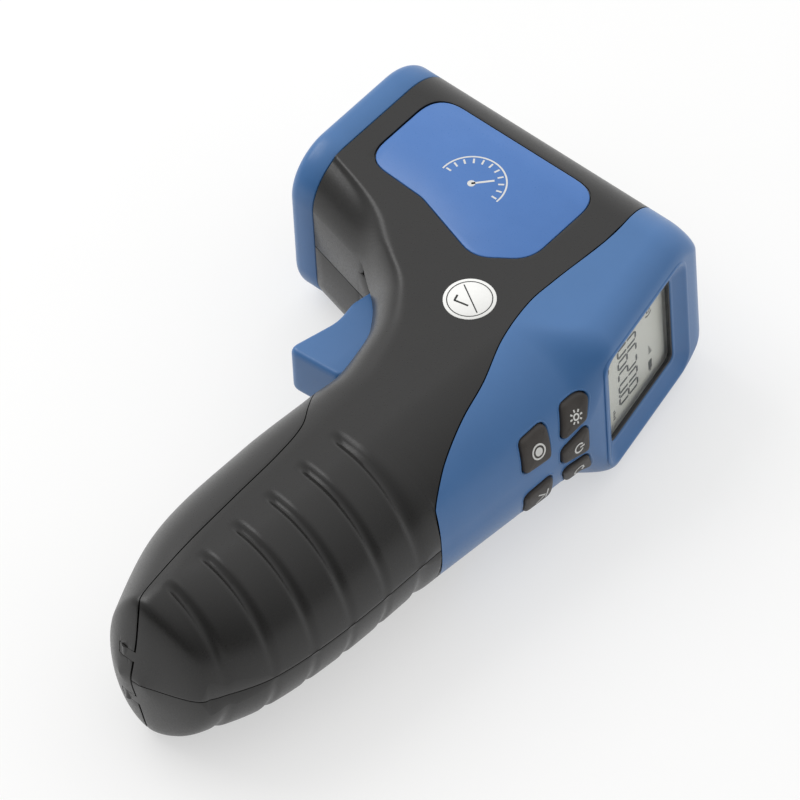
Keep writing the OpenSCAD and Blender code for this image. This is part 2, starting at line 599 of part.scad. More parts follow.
// Plain boards and panels
key_board_h = 34;
key_board_w = 34;
key_board_y = apex_y - 16.5;
module key_board() {
    color("#2d6a3f") difference() {
        translate([key_board_x - board_t, key_board_y, mid_z]) rotate([0, 90, 0])
            linear_extrude(board_t) square([key_board_w, key_board_h], center = true);
        for (p = key_posts)
            translate([key_board_x - board_t - over, p[0], mid_z + p[1]]) rotate([0, 90, 0])
                cylinder(d = board_screw_d + 2 * slack, h = board_t + 2 * over);
    }
}
module keypad_sheet() {
    color("#55524e") difference() {
        translate([key_board_x, key_board_y, mid_z]) rotate([0, 90, 0])
            linear_extrude(sheet_t)
                square([key_board_w - 2 * sheet_edge, key_board_h - 2 * sheet_edge], center = true);
        for (p = key_posts)
            translate([key_board_x - over, p[0], mid_z + p[1]]) rotate([0, 90, 0])
                cylinder(d = screw_post_d + 2 * slack, h = sheet_t + 2 * over);
    }
}

board_edge = 0.5;
board_w = frame_w + 2 * board_edge;
board_top = screen_posts[1][1] + screw_post_d / 2 + post_gap;
module main_board() {
    color("#2d6a3f") on_screen(board_z + board_t) difference() {
        translate([-board_w / 2, -frame_h / 2, 0]) cube([board_w, frame_h / 2 + board_top, board_t]);
        for (p = screen_posts)
            translate([p[0], p[1], -over]) cylinder(d = board_screw_d + 2 * slack, h = board_t + 2 * over);
    }
}
chip_side = 12;
chip_t = 1.8;
chip_r = 0.6;
pane_r = 1;
module processor_chip() {
    color("#1d1d1f") on_screen(board_z + board_t + chip_t)
        linear_extrude(chip_t) polygon(rounded_box(chip_side, chip_side, chip_r));
}
module lcd_window() {
    color("#d8dde0", 0.4) on_screen(glass_z)
        linear_extrude(pane_t) polygon(rounded_box(glass_w, glass_h, pane_r));
}
glass_ledge = 3;
module lcd_glass() {
    color("#a5a59b") on_screen(light_z) union() {
        linear_extrude(glass_t / 2) square([glass_w, glass_h], center = true);
        linear_extrude(glass_t) square([glass_w, glass_h - glass_ledge], center = true);
    }
}
module lcd_frame() {
    color("#e6e4dc") on_screen(board_z) difference() {
        linear_extrude(board_z - pane_z - slack) square([frame_w, frame_h], center = true);
        translate([0, 0, -over]) linear_extrude(board_z)
            square([glass_w + 2 * slack, glass_h + 2 * slack], center = true);
    }
}
strip_w = 2.4;
strip_gap = 0.5;
strip_end = 1;
module backlight_panel() {
    color("#f2f2ec") on_screen(board_z)
        linear_extrude(light_t) polygon(rounded_box(glass_w, glass_h - 2 * (strip_w + strip_gap), pane_r));
}
module contact_strips() {
    color("#c9648a") for (s = [-1, 1])
        on_screen(board_z) translate([0, s * (glass_h - strip_w) / 2, 0])
            linear_extrude(light_t) square([glass_w - 2 * strip_end, strip_w], center = true);
}

// Profile carried round a rounded square: straight runs on the sides and turns at the corners
module round_square_sweep(half_y, half_z, r) {
    for (s = [0, 1]) rotate([0, 0, 180 * s]) {
        translate([half_z - r, half_y - r, 0]) rotate_extrude(angle = 90) children();
        translate([-half_z + r, half_y - r, 0]) rotate([0, 0, 90]) rotate_extrude(angle = 90) children();
        translate([half_z - r, half_y - r, 0]) rotate([90, 0, 0]) linear_extrude(2 * (half_y - r)) children();
        translate([r - half_z, half_y - r, 0]) rotate([90, 0, 90])
            linear_extrude(2 * (half_z - r)) children();
    }
}

// Nose ring: rounded front edge, a lip that holds the window and a spigot that fits the barrel
ring_front_r = 3;
lip_w = 5.5;
lip_l = 3;
spigot_l = 3;
spigot_t = 1.5;
lip_chamfer = 0.8;
lip_step = 2;
spigot_root = 1.5;
ring_inner = lip_w - lip_step;
ring_profile_steps = 6;
function ring_profile(r) = concat(
    [[r - lip_w, lip_l], [r - lip_w + lip_chamfer, 0]],
    [for (k = [0:ring_profile_steps]) let (a = 90 * k / ring_profile_steps)
        [r - ring_front_r + ring_front_r * sin(a), ring_front_r - ring_front_r * cos(a)]],
    [[r, ring_l - seam_gap / 2], [r - wall - slack, ring_l - seam_gap / 2],
    [r - wall - slack, ring_l + spigot_l], [r - wall - slack - spigot_t, ring_l + spigot_l],
    [r - wall - slack - spigot_t, ring_l], [r - ring_inner, ring_l - spigot_root], [r - ring_inner, lip_l]]);
module nose_ring() {
    color("#3f6da3") along_x(-nose_reach)
        round_square_sweep(top_y, mid_z, barrel_r) polygon(ring_profile(barrel_r));
}
window_x = -nose_reach + lip_l;
window_in = ring_inner + slack;
module front_window() {
    color("#3a1014", 0.6) along_x(window_x) linear_extrude(window_t)
        polygon(arc_box(2 * (mid_z - window_in), 2 * (top_y - window_in), barrel_r - window_in));
}

// Optics: a plate behind the ring's spigot carries the receiver tube and the laser tube
optics_x = ring_x + spigot_l;
plate_t = 2.5;
tube_gap = 1;
tube_front_x = window_x + window_t + tube_gap;
tube_back = 19;
tube_back_x = optics_x + tube_back;
plate_in = wall + slack;
receiver_y = 2.2;
lens_seat = 6;
receiver_d = lens_d + 2 * fit_clear + 2 * tube_wall;
laser_tube_d = laser_d + 2 * fit_clear + 2 * tube_wall;
tube_space = 0.5;
laser_y = receiver_y - receiver_d / 2 - laser_tube_d / 2 - tube_space;
lens_stop = 1;
tube_l = tube_back_x - tube_front_x;
module optics_holder() {
    color("#232325") difference() {
        union() {
            along_x(optics_x) linear_extrude(plate_t)
                polygon(arc_box(2 * (mid_z - plate_in), 2 * (top_y - plate_in), barrel_r - plate_in));
            along_x(tube_front_x) translate([0, receiver_y, 0]) cylinder(d = receiver_d, h = tube_l);
            along_x(tube_front_x) translate([0, laser_y, 0]) cylinder(d = laser_tube_d, h = tube_l);
        }
        along_x(tube_front_x - over) translate([0, receiver_y, 0])
            cylinder(d = lens_d + 2 * fit_clear, h = lens_seat + over);
        along_x(tube_front_x) translate([0, receiver_y, 0])
            cylinder(d = lens_d - 2 * lens_stop, h = tube_l + over);
        along_x(tube_front_x - over) translate([0, laser_y, 0])
            cylinder(d = laser_d + 2 * fit_clear, h = tube_l + 2 * over);
    }
}
lens_edge = 1.6;
lens_crown = 2.4;
module receiver_lens() {
    radius = (pow(lens_d / 2, 2) + pow(lens_crown, 2)) / (2 * lens_crown);
    color("#dfe8ee", 0.4) along_x(tube_front_x + lens_seat) translate([0, receiver_y, 0]) rotate([180, 0, 0])
        intersection() {
            cylinder(d = lens_d, h = lens_edge + lens_crown);
            translate([0, 0, lens_edge + lens_crown - radius]) sphere(r = radius, $fn = lens_fn);
        }
}
laser_l = 18;
laser_cap_l = 3;
laser_step = 0.5;
beam_d = 2.2;
lens_fn = 96;
module laser_module() {
    color("#b08d57") along_x(tube_front_x) translate([0, laser_y, 0]) difference() {
        union() {
            cylinder(d = laser_d - 2 * laser_step, h = laser_cap_l);
            translate([0, 0, laser_cap_l]) cylinder(d = laser_d, h = laser_l - laser_cap_l);
        }
        translate([0, 0, -over]) cylinder(d = beam_d, h = laser_cap_l);
    }
}
sensor_w = 26;
sensor_top = 3;
sensor_h = receiver_d + sensor_top;
module sensor_board() {
    color("#2d6a3f") along_x(tube_back_x) translate([-sensor_w / 2, receiver_y - receiver_d / 2, 0])
        cube([sensor_w, sensor_h, board_t]);
}
diode_d = 5;
diode_l = 7;
diode_rim = 0.45;
diode_rim_t = 1;
module photodiode() {
    color("#20242a") along_x(tube_back_x) translate([0, receiver_y, 0]) rotate([180, 0, 0]) union() {
        cylinder(d = diode_d + 2 * diode_rim, h = diode_rim_t);
        cylinder(d = diode_d, h = diode_l - diode_d / 2);
        translate([0, 0, diode_l - diode_d / 2]) sphere(d = diode_d);
    }
}

// Trigger: fin outline with a hollow front, rounded on both sides
trigger_top_y = trigger_hinge[1] + 3.4;
trigger_outline = rounded([[trigger_hinge[0] - 7.5, trigger_top_y, 2.5], [-11.9, -36, 6], [-10.9, -42, 12],
    [-14.5, -56, 2.4], [1.6, -55, 2.5], [1, -44, 8], [trigger_hinge[0] + 3.6, -37.5, 5],
    [trigger_hinge[0] + 4.2, trigger_top_y, 4]]);
// Rounded sides: depth of each level below the side, and how far its outline is drawn in
trigger_levels = [[0, 1.1], [0.4, 0.5], [1.1, 0.12], [1.9, 0]];
function trigger_ring(z, d) = [for (p = drawn_in(trigger_outline, d)) [p[0], p[1], z]];
module trigger() {
    half = trigger_w / 2;
    upper = [for (k = trigger_levels) trigger_ring(half - k[0], k[1])];
    lower = [for (i = [len(trigger_levels) - 1:-1:0])
        trigger_ring(trigger_levels[i][0] - half, trigger_levels[i][1])];
    color("#3f6da3") translate([0, 0, mid_z]) difference() {
        loft(concat(upper, lower));
        translate([trigger_hinge[0], trigger_hinge[1], -trigger_w])
            cylinder(d = pin_d + 2 * pin_clear, h = 2 * trigger_w);
        translate([spring_x0 - spring_pocket, spring_y, 0]) rotate([0, 90, 0])
            cylinder(d = spring_d + 2 * spring_room, h = 2 * switch_x);
    }
}
module trigger_pin() {
    color("#b9bdc1") translate([trigger_hinge[0], trigger_hinge[1], mid_z - slot_z - pin_boss_l])
        cylinder(d = pin_d, h = 2 * (slot_z + pin_boss_l));
}

// Return spring between the trigger and the switch body
spring_d = 5;
spring_pocket = 3;
spring_room = 0.5;
spring_end = 0.1;
spring_turns = 6;
spring_sides = 6;
spring_steps = 10;
spring_count = spring_turns * spring_steps;
switch_x = 7;
switch_y = [-52, -34];
switch_z = 5;
switch_l = 7;
spring_x0 = 1;
spring_y = -47;
function coil_point(i, k) = let (
    a = 360 * i / spring_steps, b = 360 * k / spring_sides,
    r = (spring_d - spring_wire) / 2 + spring_wire / 2 * cos(b),
    start = spring_x0 - spring_pocket + spring_wire / 2 + spring_end,
    stop = switch_x - spring_wire / 2 - spring_end,
    x = mix(start, stop, i / spring_count) + spring_wire / 2 * sin(b))
    [x, spring_y + r * cos(a), mid_z + r * sin(a)];
module trigger_spring() {
    color("#c8ccd0") loft([for (i = [0:spring_count]) [for (k = [0:spring_sides - 1]) coil_point(i, k)]]);
}
plunger_r = 1.2;
plunger_y = -38.5;
plunger_l = 4.9;
seat_l = 1.5;
seat_gap = 0.2;
module trigger_switch() {
    color("#26262a") translate([0, 0, mid_z]) union() {
        translate([switch_x, switch_y[0], -switch_z])
            cube([switch_l, switch_y[1] - switch_y[0], 2 * switch_z]);
        translate([switch_x - plunger_l, plunger_y, 0]) rotate([0, 90, 0])
            cylinder(r = plunger_r, h = plunger_l + bite);
        translate([switch_x + bite, spring_y, 0]) rotate([0, -90, 0])
            cylinder(d = spring_d - 2 * spring_wire - 2 * seat_gap, h = seat_l + bite);
    }
}
rest_in = 1;
rest_up = 4;
rest_h = 9;
module switch_rest() {
    translate([switch_x + rest_in, switch_y[0] + rest_up, switch_z])
        cube([switch_l - 2 * rest_in, rest_h, half_t(switch_y[0]) - wall + bite - switch_z]);
}

// Battery compartment: a partition with two cheeks, fitted between the black halves
battery_front_x = 8.4;
battery_low_y = tip_y + 20;
tray_wall = 1.5;
tray_x = battery_front_x + battery_t + slack;
tray_low_y = battery_low_y - slack;
snap_room = 9;
tray_high_y = battery_low_y + battery_l + snap_room;
tray_gap = 0.4;
tray_half = skin(tray_x + tray_wall, tray_low_y - tray_wall, wall) - tray_gap;
cheek_x = battery_front_x + 3;
cheek_l = tray_x - cheek_x + bite;
cheek_z = battery_w / 2 + slack;
tray_l = tray_high_y - tray_low_y + 2 * tray_wall;
wire_hole_d = 4;
wire_hole_y = tray_high_y - 5;
module battery_tray() {
    color("#2a2928") translate([0, 0, mid_z]) difference() {
        union() {
            translate([tray_x, tray_low_y - tray_wall, -tray_half])
                cube([tray_wall, tray_l, 2 * tray_half]);
            for (z = [-cheek_z - tray_wall, cheek_z])
                translate([cheek_x, tray_low_y - tray_wall, z]) cube([cheek_l, tray_l, tray_wall]);
            for (y = [tray_low_y - tray_wall, tray_high_y])
                translate([cheek_x, y, -cheek_z - bite]) cube([cheek_l, tray_wall, 2 * (cheek_z + bite)]);
        }
        translate([tray_x - over, wire_hole_y, 0]) rotate([0, 90, 0])
            cylinder(d = wire_hole_d, h = tray_wall + 2 * over);
    }
}
stud_gap = 12.7;
stud_l = 2.6;
stud_d = 5.6;
socket_d = 7.6;
stud_bite = 0.1;
battery_r = 2;
module battery() {
    middle_x = battery_front_x + battery_t / 2;
    color("#8a8d90") translate([middle_x, battery_low_y, mid_z]) rotate([-90, 0, 0]) union() {
        linear_extrude(battery_l) polygon(rounded_box(battery_t, battery_w, battery_r));
        translate([0, -stud_gap / 2, battery_l - stud_bite]) cylinder(d = stud_d, h = stud_l + stud_bite);
        translate([0, stud_gap / 2, battery_l - stud_bite])
            cylinder(d = socket_d, h = stud_l + stud_bite, $fn = 6);
    }
}
snap_t = 4;
snap_w = 11;
snap_in = 0.75;
snap_l = battery_w - 2 * snap_in;
snap_r = 4;
snap_gap = 0.1;
stud_hole_d = stud_d + 0.4;
socket_hole_d = socket_d + 1.6;
module battery_snap() {
    place = [battery_front_x + battery_t / 2, battery_low_y + battery_l + snap_gap, mid_z];
    hole_l = stud_l + over + 2 * snap_gap;
    color("#1c1c1e") translate(place) rotate([-90, 0, 0]) difference() {
        linear_extrude(snap_t) polygon(rounded_box(snap_w, snap_l, snap_r));
        translate([0, -stud_gap / 2, -over]) cylinder(d = stud_hole_d, h = hole_l);
        translate([0, stud_gap / 2, -over]) cylinder(d = socket_hole_d, h = hole_l);
    }
}

// Battery door: the front of the handle between the seams, with a knuckle at its foot
door_cols = 8;
door_rows = concat([for (t = [0.25, 0.8, 2, 5, 9, 14, 20, 29]) door_y - t],
    [for (t = [1:5]) mix(door_y - 29, tip_y + 23, t / 5)],
    [for (t = [16, 11, 8, 6, 5, 4, 3, 2.1, 1.2, 0.4, 0]) tip_y + t]);
door_top_solid = 3;
function door_row(row, w) = w == 0 ? row
    : chain([[door_y, door_y - door_top_solid], [door_y - 14, door_y - 14],
        [tip_y + 3 * tip_r, tip_y + 3 * tip_r], [tip_y, tip_y + w]], row);
function door_point(i, j, w) = let (
    y = door_row(door_rows[i], w), x0 = curve(door_seam, y) - seam_gap / 2, x1 = curve(front_line, y) + w,
    x = mix(x0, x1, sin(90 * j / door_cols)))
    [x, y, j == door_cols || door_rows[i] == tip_y ? 0 : max(edge_t, skin(x, y, w))];
module battery_door() {
    rows = [for (i = [0:len(door_rows) - 1]) i];
    color("#2f2e2d") difference() {
        union() {
            mirrored_wall([for (i = rows) [for (j = [0:door_cols]) door_point(i, j, 0)]],
                [for (i = rows) [for (j = [0:door_cols]) door_point(i, j, wall)]], true, false, true);
            translate([door_hinge[0], door_hinge[1], mid_z - knuckle_w / 2])
                cylinder(r = knuckle_r, h = knuckle_w);
        }
        for (z = [-knuckle_w / 2 - notch_w, knuckle_w / 2])
            translate([door_hinge[0], door_hinge[1], mid_z + z]) cylinder(r = hinge_room, h = notch_w);
        translate([door_hinge[0], door_hinge[1], 0]) cylinder(d = door_pin_d + 2 * pin_clear, h = body_t);
    }
}
module door_pin() {
    half = knuckle_w / 2 + ear_gap + ear_w;
    color("#b9bdc1") translate([door_hinge[0], door_hinge[1], mid_z - half])
        cylinder(d = door_pin_d, h = 2 * half);
}

// Fasteners
module case_screws() {
    color("#5c5f63") for (p = screw_places)
        translate([p[0], p[1], mid_z - screw_seat - screw_head_t]) union() {
            cylinder(d = screw_head_d, h = screw_head_t);
            cylinder(d = screw_d, h = screw_head_t + screw_seat + screw_reach);
        }
}
module board_screw() {
    cylinder(d = board_head_d, h = board_head_t);
    cylinder(d = board_screw_d, h = board_head_t + board_t + board_screw_reach);
}
module board_screws() {
    color("#5c5f63") {
        for (p = screen_posts) on_screen(board_z + board_t + board_head_t) translate(p) board_screw();
        for (p = key_posts)
            translate([key_board_x - board_t - board_head_t, p[0], mid_z + p[1]]) rotate([0, 90, 0])
                board_screw();
    }
}

// Label plate in its recess and the round sticker
module side_label() {
    color("#4a7dc6") translate([0, 0, body_t - label_d])
        linear_extrude(label_d - label_sunk) polygon(drawn_in(label_outline, label_gap));
}
module round_sticker() {
    color("#f4f4f2") translate([sticker_place[0], sticker_place[1], body_t])
        cylinder(d = sticker_d, h = sticker_t);
}

left_shell();
right_shell();
rear_housing();
nose_ring();
front_window();
optics_holder();
receiver_lens();
laser_module();
photodiode();
sensor_board();
main_board();
processor_chip();
lcd_window();
lcd_glass();
lcd_frame();
backlight_panel();
contact_strips();
key_board();
keypad_sheet();
key_light();
key_power();
key_auto();
key_record();
key_max();
battery_door();
door_pin();
trigger();
trigger_pin();
trigger_spring();
trigger_switch();
battery_tray();
battery();
battery_snap();
case_screws();
board_screws();
side_label();
round_sticker();
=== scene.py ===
# %% [markdown]
# A laser tachometer in pistol form lies on its right side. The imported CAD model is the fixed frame: its
# sealed inner pieces stay as they are, and the moulded skins that the eye meets are worked out again here as
# smooth surfaces. A skin could be sculpted or subdivided from a cage, but the real mould was cut from a few
# curves, so the same curves are written down once and every piece is read from them.

# %% Load the frame
import json

import bmesh
import bpy
import numpy as np
from mathutils import Matrix, Vector


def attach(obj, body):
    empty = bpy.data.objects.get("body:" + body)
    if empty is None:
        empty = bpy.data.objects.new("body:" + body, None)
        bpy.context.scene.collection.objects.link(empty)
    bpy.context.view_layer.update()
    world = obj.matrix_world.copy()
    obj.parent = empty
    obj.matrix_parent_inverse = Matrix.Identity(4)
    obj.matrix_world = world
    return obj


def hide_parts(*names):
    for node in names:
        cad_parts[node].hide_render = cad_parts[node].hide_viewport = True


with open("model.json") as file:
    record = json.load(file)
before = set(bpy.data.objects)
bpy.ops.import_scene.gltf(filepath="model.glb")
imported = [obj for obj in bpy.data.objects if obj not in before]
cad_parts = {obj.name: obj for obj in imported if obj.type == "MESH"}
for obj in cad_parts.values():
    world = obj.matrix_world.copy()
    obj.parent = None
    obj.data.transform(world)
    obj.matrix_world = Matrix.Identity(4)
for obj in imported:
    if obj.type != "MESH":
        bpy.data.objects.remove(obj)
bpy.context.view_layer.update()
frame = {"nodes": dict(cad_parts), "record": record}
nodes = frame["nodes"]
MM = 0.001

# %% [markdown]
# The camera comes first, because everything is judged through it. The photograph is nearly free of
# perspective, so a long lens stands far back. The direction, the roll and the scale of 4.36 pixels per
# millimetre were fitted to the outline in the photograph.

# %% Camera
AIM_MM = np.array([12.4, -47.2, 24.3])
LOOK = np.array([-0.454, 0.473, -0.755])
RIGHT = np.array([0.721, 0.693, 0.0])
ROLL = 0.063
DISTANCE_MM = 5000.0
PIXELS, PIXELS_PER_MM, SENSOR_MM = 800, 4.36, 36.0


def camera_matrix():
    """Columns are the camera's right, up and backward directions; roll mixes right and up."""
    back = -LOOK / np.linalg.norm(LOOK)
    up = np.cross(back, RIGHT)
    right = np.cross(up, back)
    up, right = up / np.linalg.norm(up), right / np.linalg.norm(right)
    turned = right * np.cos(ROLL) - up * np.sin(ROLL)
    raised = up * np.cos(ROLL) + right * np.sin(ROLL)
    place = (AIM_MM + back * DISTANCE_MM) * MM
    rows = np.column_stack([turned, raised, back, place])
    return Matrix([*rows.tolist(), [0, 0, 0, 1]])


camera_data = bpy.data.cameras.new("camera")
camera_data.sensor_width = SENSOR_MM
camera_data.lens = SENSOR_MM * DISTANCE_MM * PIXELS_PER_MM / PIXELS
camera = bpy.data.objects.new("camera", camera_data)
camera.matrix_world = camera_matrix()
bpy.context.scene.collection.objects.link(camera)
bpy.context.scene.camera = camera
print("lens in mm:", round(camera_data.lens, 1))

# %% [markdown]
# The sizes below are the mould's own: millimetres, with +X from the nose to the screen, +Y from the tip of
# the handle to the top of the barrel and +Z to the left side, which lies upwards. Each line of the side view
# is a smooth curve through a few measured points.

# %% Sizes and side-view lines
BODY_T, BARREL_H, BARREL_R, WALL, SEAM = 48.0, 48.0, 13.0, 2.2, 0.3
NOSE, RING_L, BELLY_SLOPE = 42.0, 8.0, 14.4
HANDLE_L, GRIP_T, TIP_R, DOOR_DROP = 125.0, 46.6, 6.0, 61.0
REAR, APEX_Y, SCREEN_LEAN, KEY_LEAN = 53.3, -22.0, 12.0, 4.2
MID, TOP = BODY_T / 2, BARREL_H / 2
RING_X, TIP, DOOR_Y, TAIL = -NOSE + RING_L, -TOP - HANDLE_L, -DOOR_DROP, APEX_Y - 53.0
FRONT_LINE = [(-11, -60), (-20, -29.5), (-28.6, -15.7), (-33.7, -8.1), (-38.8, -3.9), (-45.1, -0.4),
              (-52.9, 1.4), (DOOR_Y, 2.2), (DOOR_Y - 8, 0.9), (TIP + 59, -1.3), (TIP + 30, -0.4),
              (TIP + 6, 8.7), (TIP + 2, 13), (TIP, 16.5)]
FRONT_ROUND = [(-30, 11), (-50, 13), (TIP + 59, 19), (TIP + 20, 18), (TIP, 12)]
BLUE_SEAM = [(24, 29), (8, 31.5), (-12, 30.3), (-21, 30.1), (-33, 32.5), (-45, 37), (-55.4, 39.6),
             (TAIL + 9.5, 43), (TAIL + 3, 46), (TAIL + 0.8, 47.2)]
DOOR_SEAM = [(DOOR_Y, 2.5), (DOOR_Y - 0.6, 3), (DOOR_Y - 2, 3.7), (DOOR_Y - 5, 4.9), (DOOR_Y - 9, 6.9),
             (DOOR_Y - 14, 10), (DOOR_Y - 20, 13.6), (DOOR_Y - 29, 15.2), (TIP + 43, 16), (TIP + 23, 17),
             (TIP + 9, 18.3), (TIP + 6, 19), (TIP + 4, 20.1), (TIP + 2.1, 20.75), (TIP + 0.9, 20.5),
             (TIP, 19.95)]


def ease(t):
    """Three t squared minus two t cubed, with t held between 0 and 1."""
    t = np.clip(t, 0, 1)
    return t * t * (3 - 2 * t)


def ramp(y, y0, y1, v0, v1):
    """From v0 at y0 to v1 at y1, eased at both ends."""
    return v0 + (v1 - v0) * ease((y - y0) / (y1 - y0))


def spans(points, y):
    """For heights that fall along the list: the span each y lies in, and how far along it y lies."""
    h, v = np.array(points, float).T
    y = np.asarray(y, float)
    i = np.clip(np.searchsorted(-h[1:], -y), 0, len(h) - 2)
    return h, v, i, np.clip((y - h[i]) / (h[i + 1] - h[i]), 0, 1)


def curve(points, y):
    """Cubic through the points, with each slope taken from the neighbours on both sides."""
    h, v, i, t = spans(points, y)
    k = np.arange(len(h))
    a, b = np.maximum(k - 1, 0), np.minimum(k + 1, len(h) - 1)
    slope, d = (v[b] - v[a]) / (h[b] - h[a]), h[i + 1] - h[i]
    return (v[i] * (1 + 2 * t) * (1 - t) ** 2 + slope[i] * d * t * (1 - t) ** 2
            + v[i + 1] * t * t * (3 - 2 * t) + slope[i + 1] * d * t * t * (t - 1))


def chain(points, y):
    """Straight lines through the points."""
    h, v, i, t = spans(points, y)
    return v[i] + (v[i + 1] - v[i]) * t


print("door seam at the middle of the grip, mm:", round(float(curve(DOOR_SEAM, -105)), 2))

# %% [markdown]
# The skin is one function: how far the surface stands from the middle plane above a point of the side view.
# It starts from half the thickness and takes off a quarter-round at each edge: the top of the barrel, the
# belly, the front of the handle, the rear and the tip. Drawn in by the wall, the same function is the inside.

# %% The skin of the body
ROLL_X, ROLL_Z, ROUND_X, ROUND_SHARE, ROUND_REST = 8.0, 6.0, 22.0, 0.93, 0.07
FLAT_END, ROUND_START, TAIL_JOIN, TAIL_END = APEX_Y + 5, APEX_Y - 8, TAIL + 4, TAIL - 8
EDGE_SOFT, REAR_TOP_R, OUTSIDE_RATE, SLIM_FROM, TINY = 1.0, 5.0, 8.0, -38.0, 1e-9


def tan(degrees):
    """Tangent of an angle in degrees."""
    return np.tan(np.radians(degrees))


def corner(d, rx, rz):
    """Depth of a quarter ellipse of radii rx and rz at a distance d from its edge."""
    s = np.clip(1 - d / rx, 0, 1)
    return rz * (1 - np.sqrt(1 - s * s))


def soft_min(a, b):
    """The smaller of two depths, blended where alike: ab over the cube root of a cubed plus b cubed."""
    a, b = np.maximum(a, TINY), np.maximum(b, TINY)
    return a * b / np.cbrt(a ** 3 + b ** 3)


def half_t(y):
    """Half the thickness: full at the barrel, eased down to that of the grip."""
    return ramp(y, SLIM_FROM, TAIL, MID, GRIP_T / 2)


def rear_line(y):
    """Screen face and key face, joined by a parabola where they are closer than EDGE_SOFT."""
    a, b = REAR - (y - APEX_Y) * tan(SCREEN_LEAN), REAR + (y - APEX_Y) * tan(KEY_LEAN)
    return np.minimum(a, b) - np.maximum(EDGE_SOFT - abs(a - b), 0) ** 2 / (4 * EDGE_SOFT)


BACK_LINE = [(TAIL + 8, float(rear_line(TAIL + 8))), (TAIL, float(rear_line(TAIL))), (TIP + 44, 48.4),
             (TIP + 22, 45.2), (TIP + 10, 40.1), (TIP + 4.3, 35.6), (TIP, 23)]


def back_x(y):
    """The rear edge in the side view: screen and key faces above, the curve of the grip below."""
    upper = rear_line(y) - corner(TOP - y, REAR_TOP_R, REAR_TOP_R)
    return np.where(y > TAIL_JOIN, upper, curve(BACK_LINE, y))


def back_rx(y):
    """Rounding of the rear along X: small beside the screen, wide below it."""
    return ramp(y, FLAT_END, ROUND_START, ROLL_X, ROUND_X)


def back_rz(y):
    """Rounding of the rear across the part: small beside the screen, up to half the thickness below it."""
    return (ramp(y, FLAT_END, ROUND_START, ROLL_Z, ROUND_SHARE * half_t(y))
            + ramp(y, TAIL, TAIL_END, 0, ROUND_REST * half_t(y)))


def belly_y(x):
    """The underside of the barrel: level at the nose ring, then sloping down."""
    return -TOP - np.maximum(0, x - RING_X) * tan(BELLY_SLOPE)


def outside(d, inside, limit):
    """Past an edge the depth keeps growing, so that a blend of two depths stays smooth there."""
    return np.where(d < 0, limit - OUTSIDE_RATE * d, inside)


def skin(x, y, w):
    """Half thickness less the depth of each rounding, as a product of the shares that are left."""
    h, r = half_t(y) - w, BARREL_R - w
    belly, front = y - belly_y(x) - w, x - curve(FRONT_LINE, y) - w
    under = soft_min(outside(belly, corner(belly, r, r), r),
                     outside(front, corner(front, curve(FRONT_ROUND, y) - w, h), h))
    rear = corner(back_x(y) - w - x, back_rx(y) - w, back_rz(y) - w)
    foot = corner(y - TIP - w, TIP_R - w, h)
    return (h - corner(TOP - w - y, r, r)) * np.maximum(0, 1 - under / h) * (1 - rear / h) * (1 - foot / h)


def rear_skin(y, z, w):
    """The rear read the other way: distance along X at a height y and a distance z from the middle plane."""
    return back_x(y) - w - corner(half_t(y) - w - abs(z), back_rz(y) - w, back_rx(y) - w)


print("grip half thickness at its middle, mm:", round(float(skin(30.0, -110.0, 0)), 2))

# %% [markdown]
# Meshes come from grids of points. A wall has an outer grid and an inner grid with a rim between them, so it
# is closed and has the thickness that shows at a seam. A small bevel then breaks the moulded edges.

# %% Mesh helpers
MERGE_M, FLAT_M = 2e-6, 1e-6


def grid_quads(rows, cols, start=0, wrap=False):
    """Corner numbers of every cell of a rows by cols grid; wrap joins the last column to the first."""
    i, j = np.meshgrid(np.arange(rows - 1), np.arange(cols if wrap else cols - 1), indexing="ij")
    k = (j + 1) % cols
    quads = np.stack([i * cols + j, i * cols + k, (i + 1) * cols + k, (i + 1) * cols + j], axis=-1)
    return quads.reshape(-1, 4) + start


def smooth(mesh, angle=50.0):
    """Smooth shading that leaves edges sharper than the angle sharp."""
    mesh.shade_smooth()
    mesh.set_sharp_from_angle(angle=np.radians(angle))


def make_piece(name, points, faces, smooth_angle=40.0):
    """Millimetre points and faces as a mesh at the origin, doubles merged and faces turned outwards."""
    mesh = bpy.data.meshes.new(name)
    points = (np.asarray(points, float).reshape(-1, 3) * MM).tolist()
    mesh.from_pydata(points, [], [list(map(int, f)) for f in faces])
    work = bmesh.new()
    work.from_mesh(mesh)
    bmesh.ops.remove_doubles(work, verts=work.verts, dist=MERGE_M)
    bmesh.ops.dissolve_degenerate(work, edges=work.edges, dist=FLAT_M)
    bmesh.ops.recalc_face_normals(work, faces=work.faces)
    work.to_mesh(mesh)
    work.free()
    smooth(mesh, smooth_angle)
    piece = bpy.data.objects.new(name, mesh)
    bpy.context.scene.collection.objects.link(piece)
    return piece


def wall_faces(rows, cols, first=True, last=True):
    """Outer cells, inner cells and rims of a wall of two equal grids; a row closed on itself has no rim."""
    n, number = rows * cols, np.arange(rows * cols).reshape(rows, cols)
    sides = [number[0, :-1], number[:-1, -1], number[-1, :0:-1], number[:0:-1, 0]]
    loop = np.concatenate(sides)
    following = np.roll(loop, -1)
    keep = np.repeat([first, True, last, True], [len(side) for side in sides])
    rim = np.stack([loop, loop + n, following + n, following], axis=-1)[keep]
    return np.concatenate([grid_quads(rows, cols), grid_quads(rows, cols, n)[:, ::-1], rim])


def apply_modifiers(piece):
    """Replaces the mesh by what its modifiers make of it."""
    graph = bpy.context.evaluated_depsgraph_get()
    made = bpy.data.meshes.new_from_object(piece.evaluated_get(graph))
    piece.modifiers.clear()
    old, piece.data = piece.data, made
    bpy.data.meshes.remove(old)


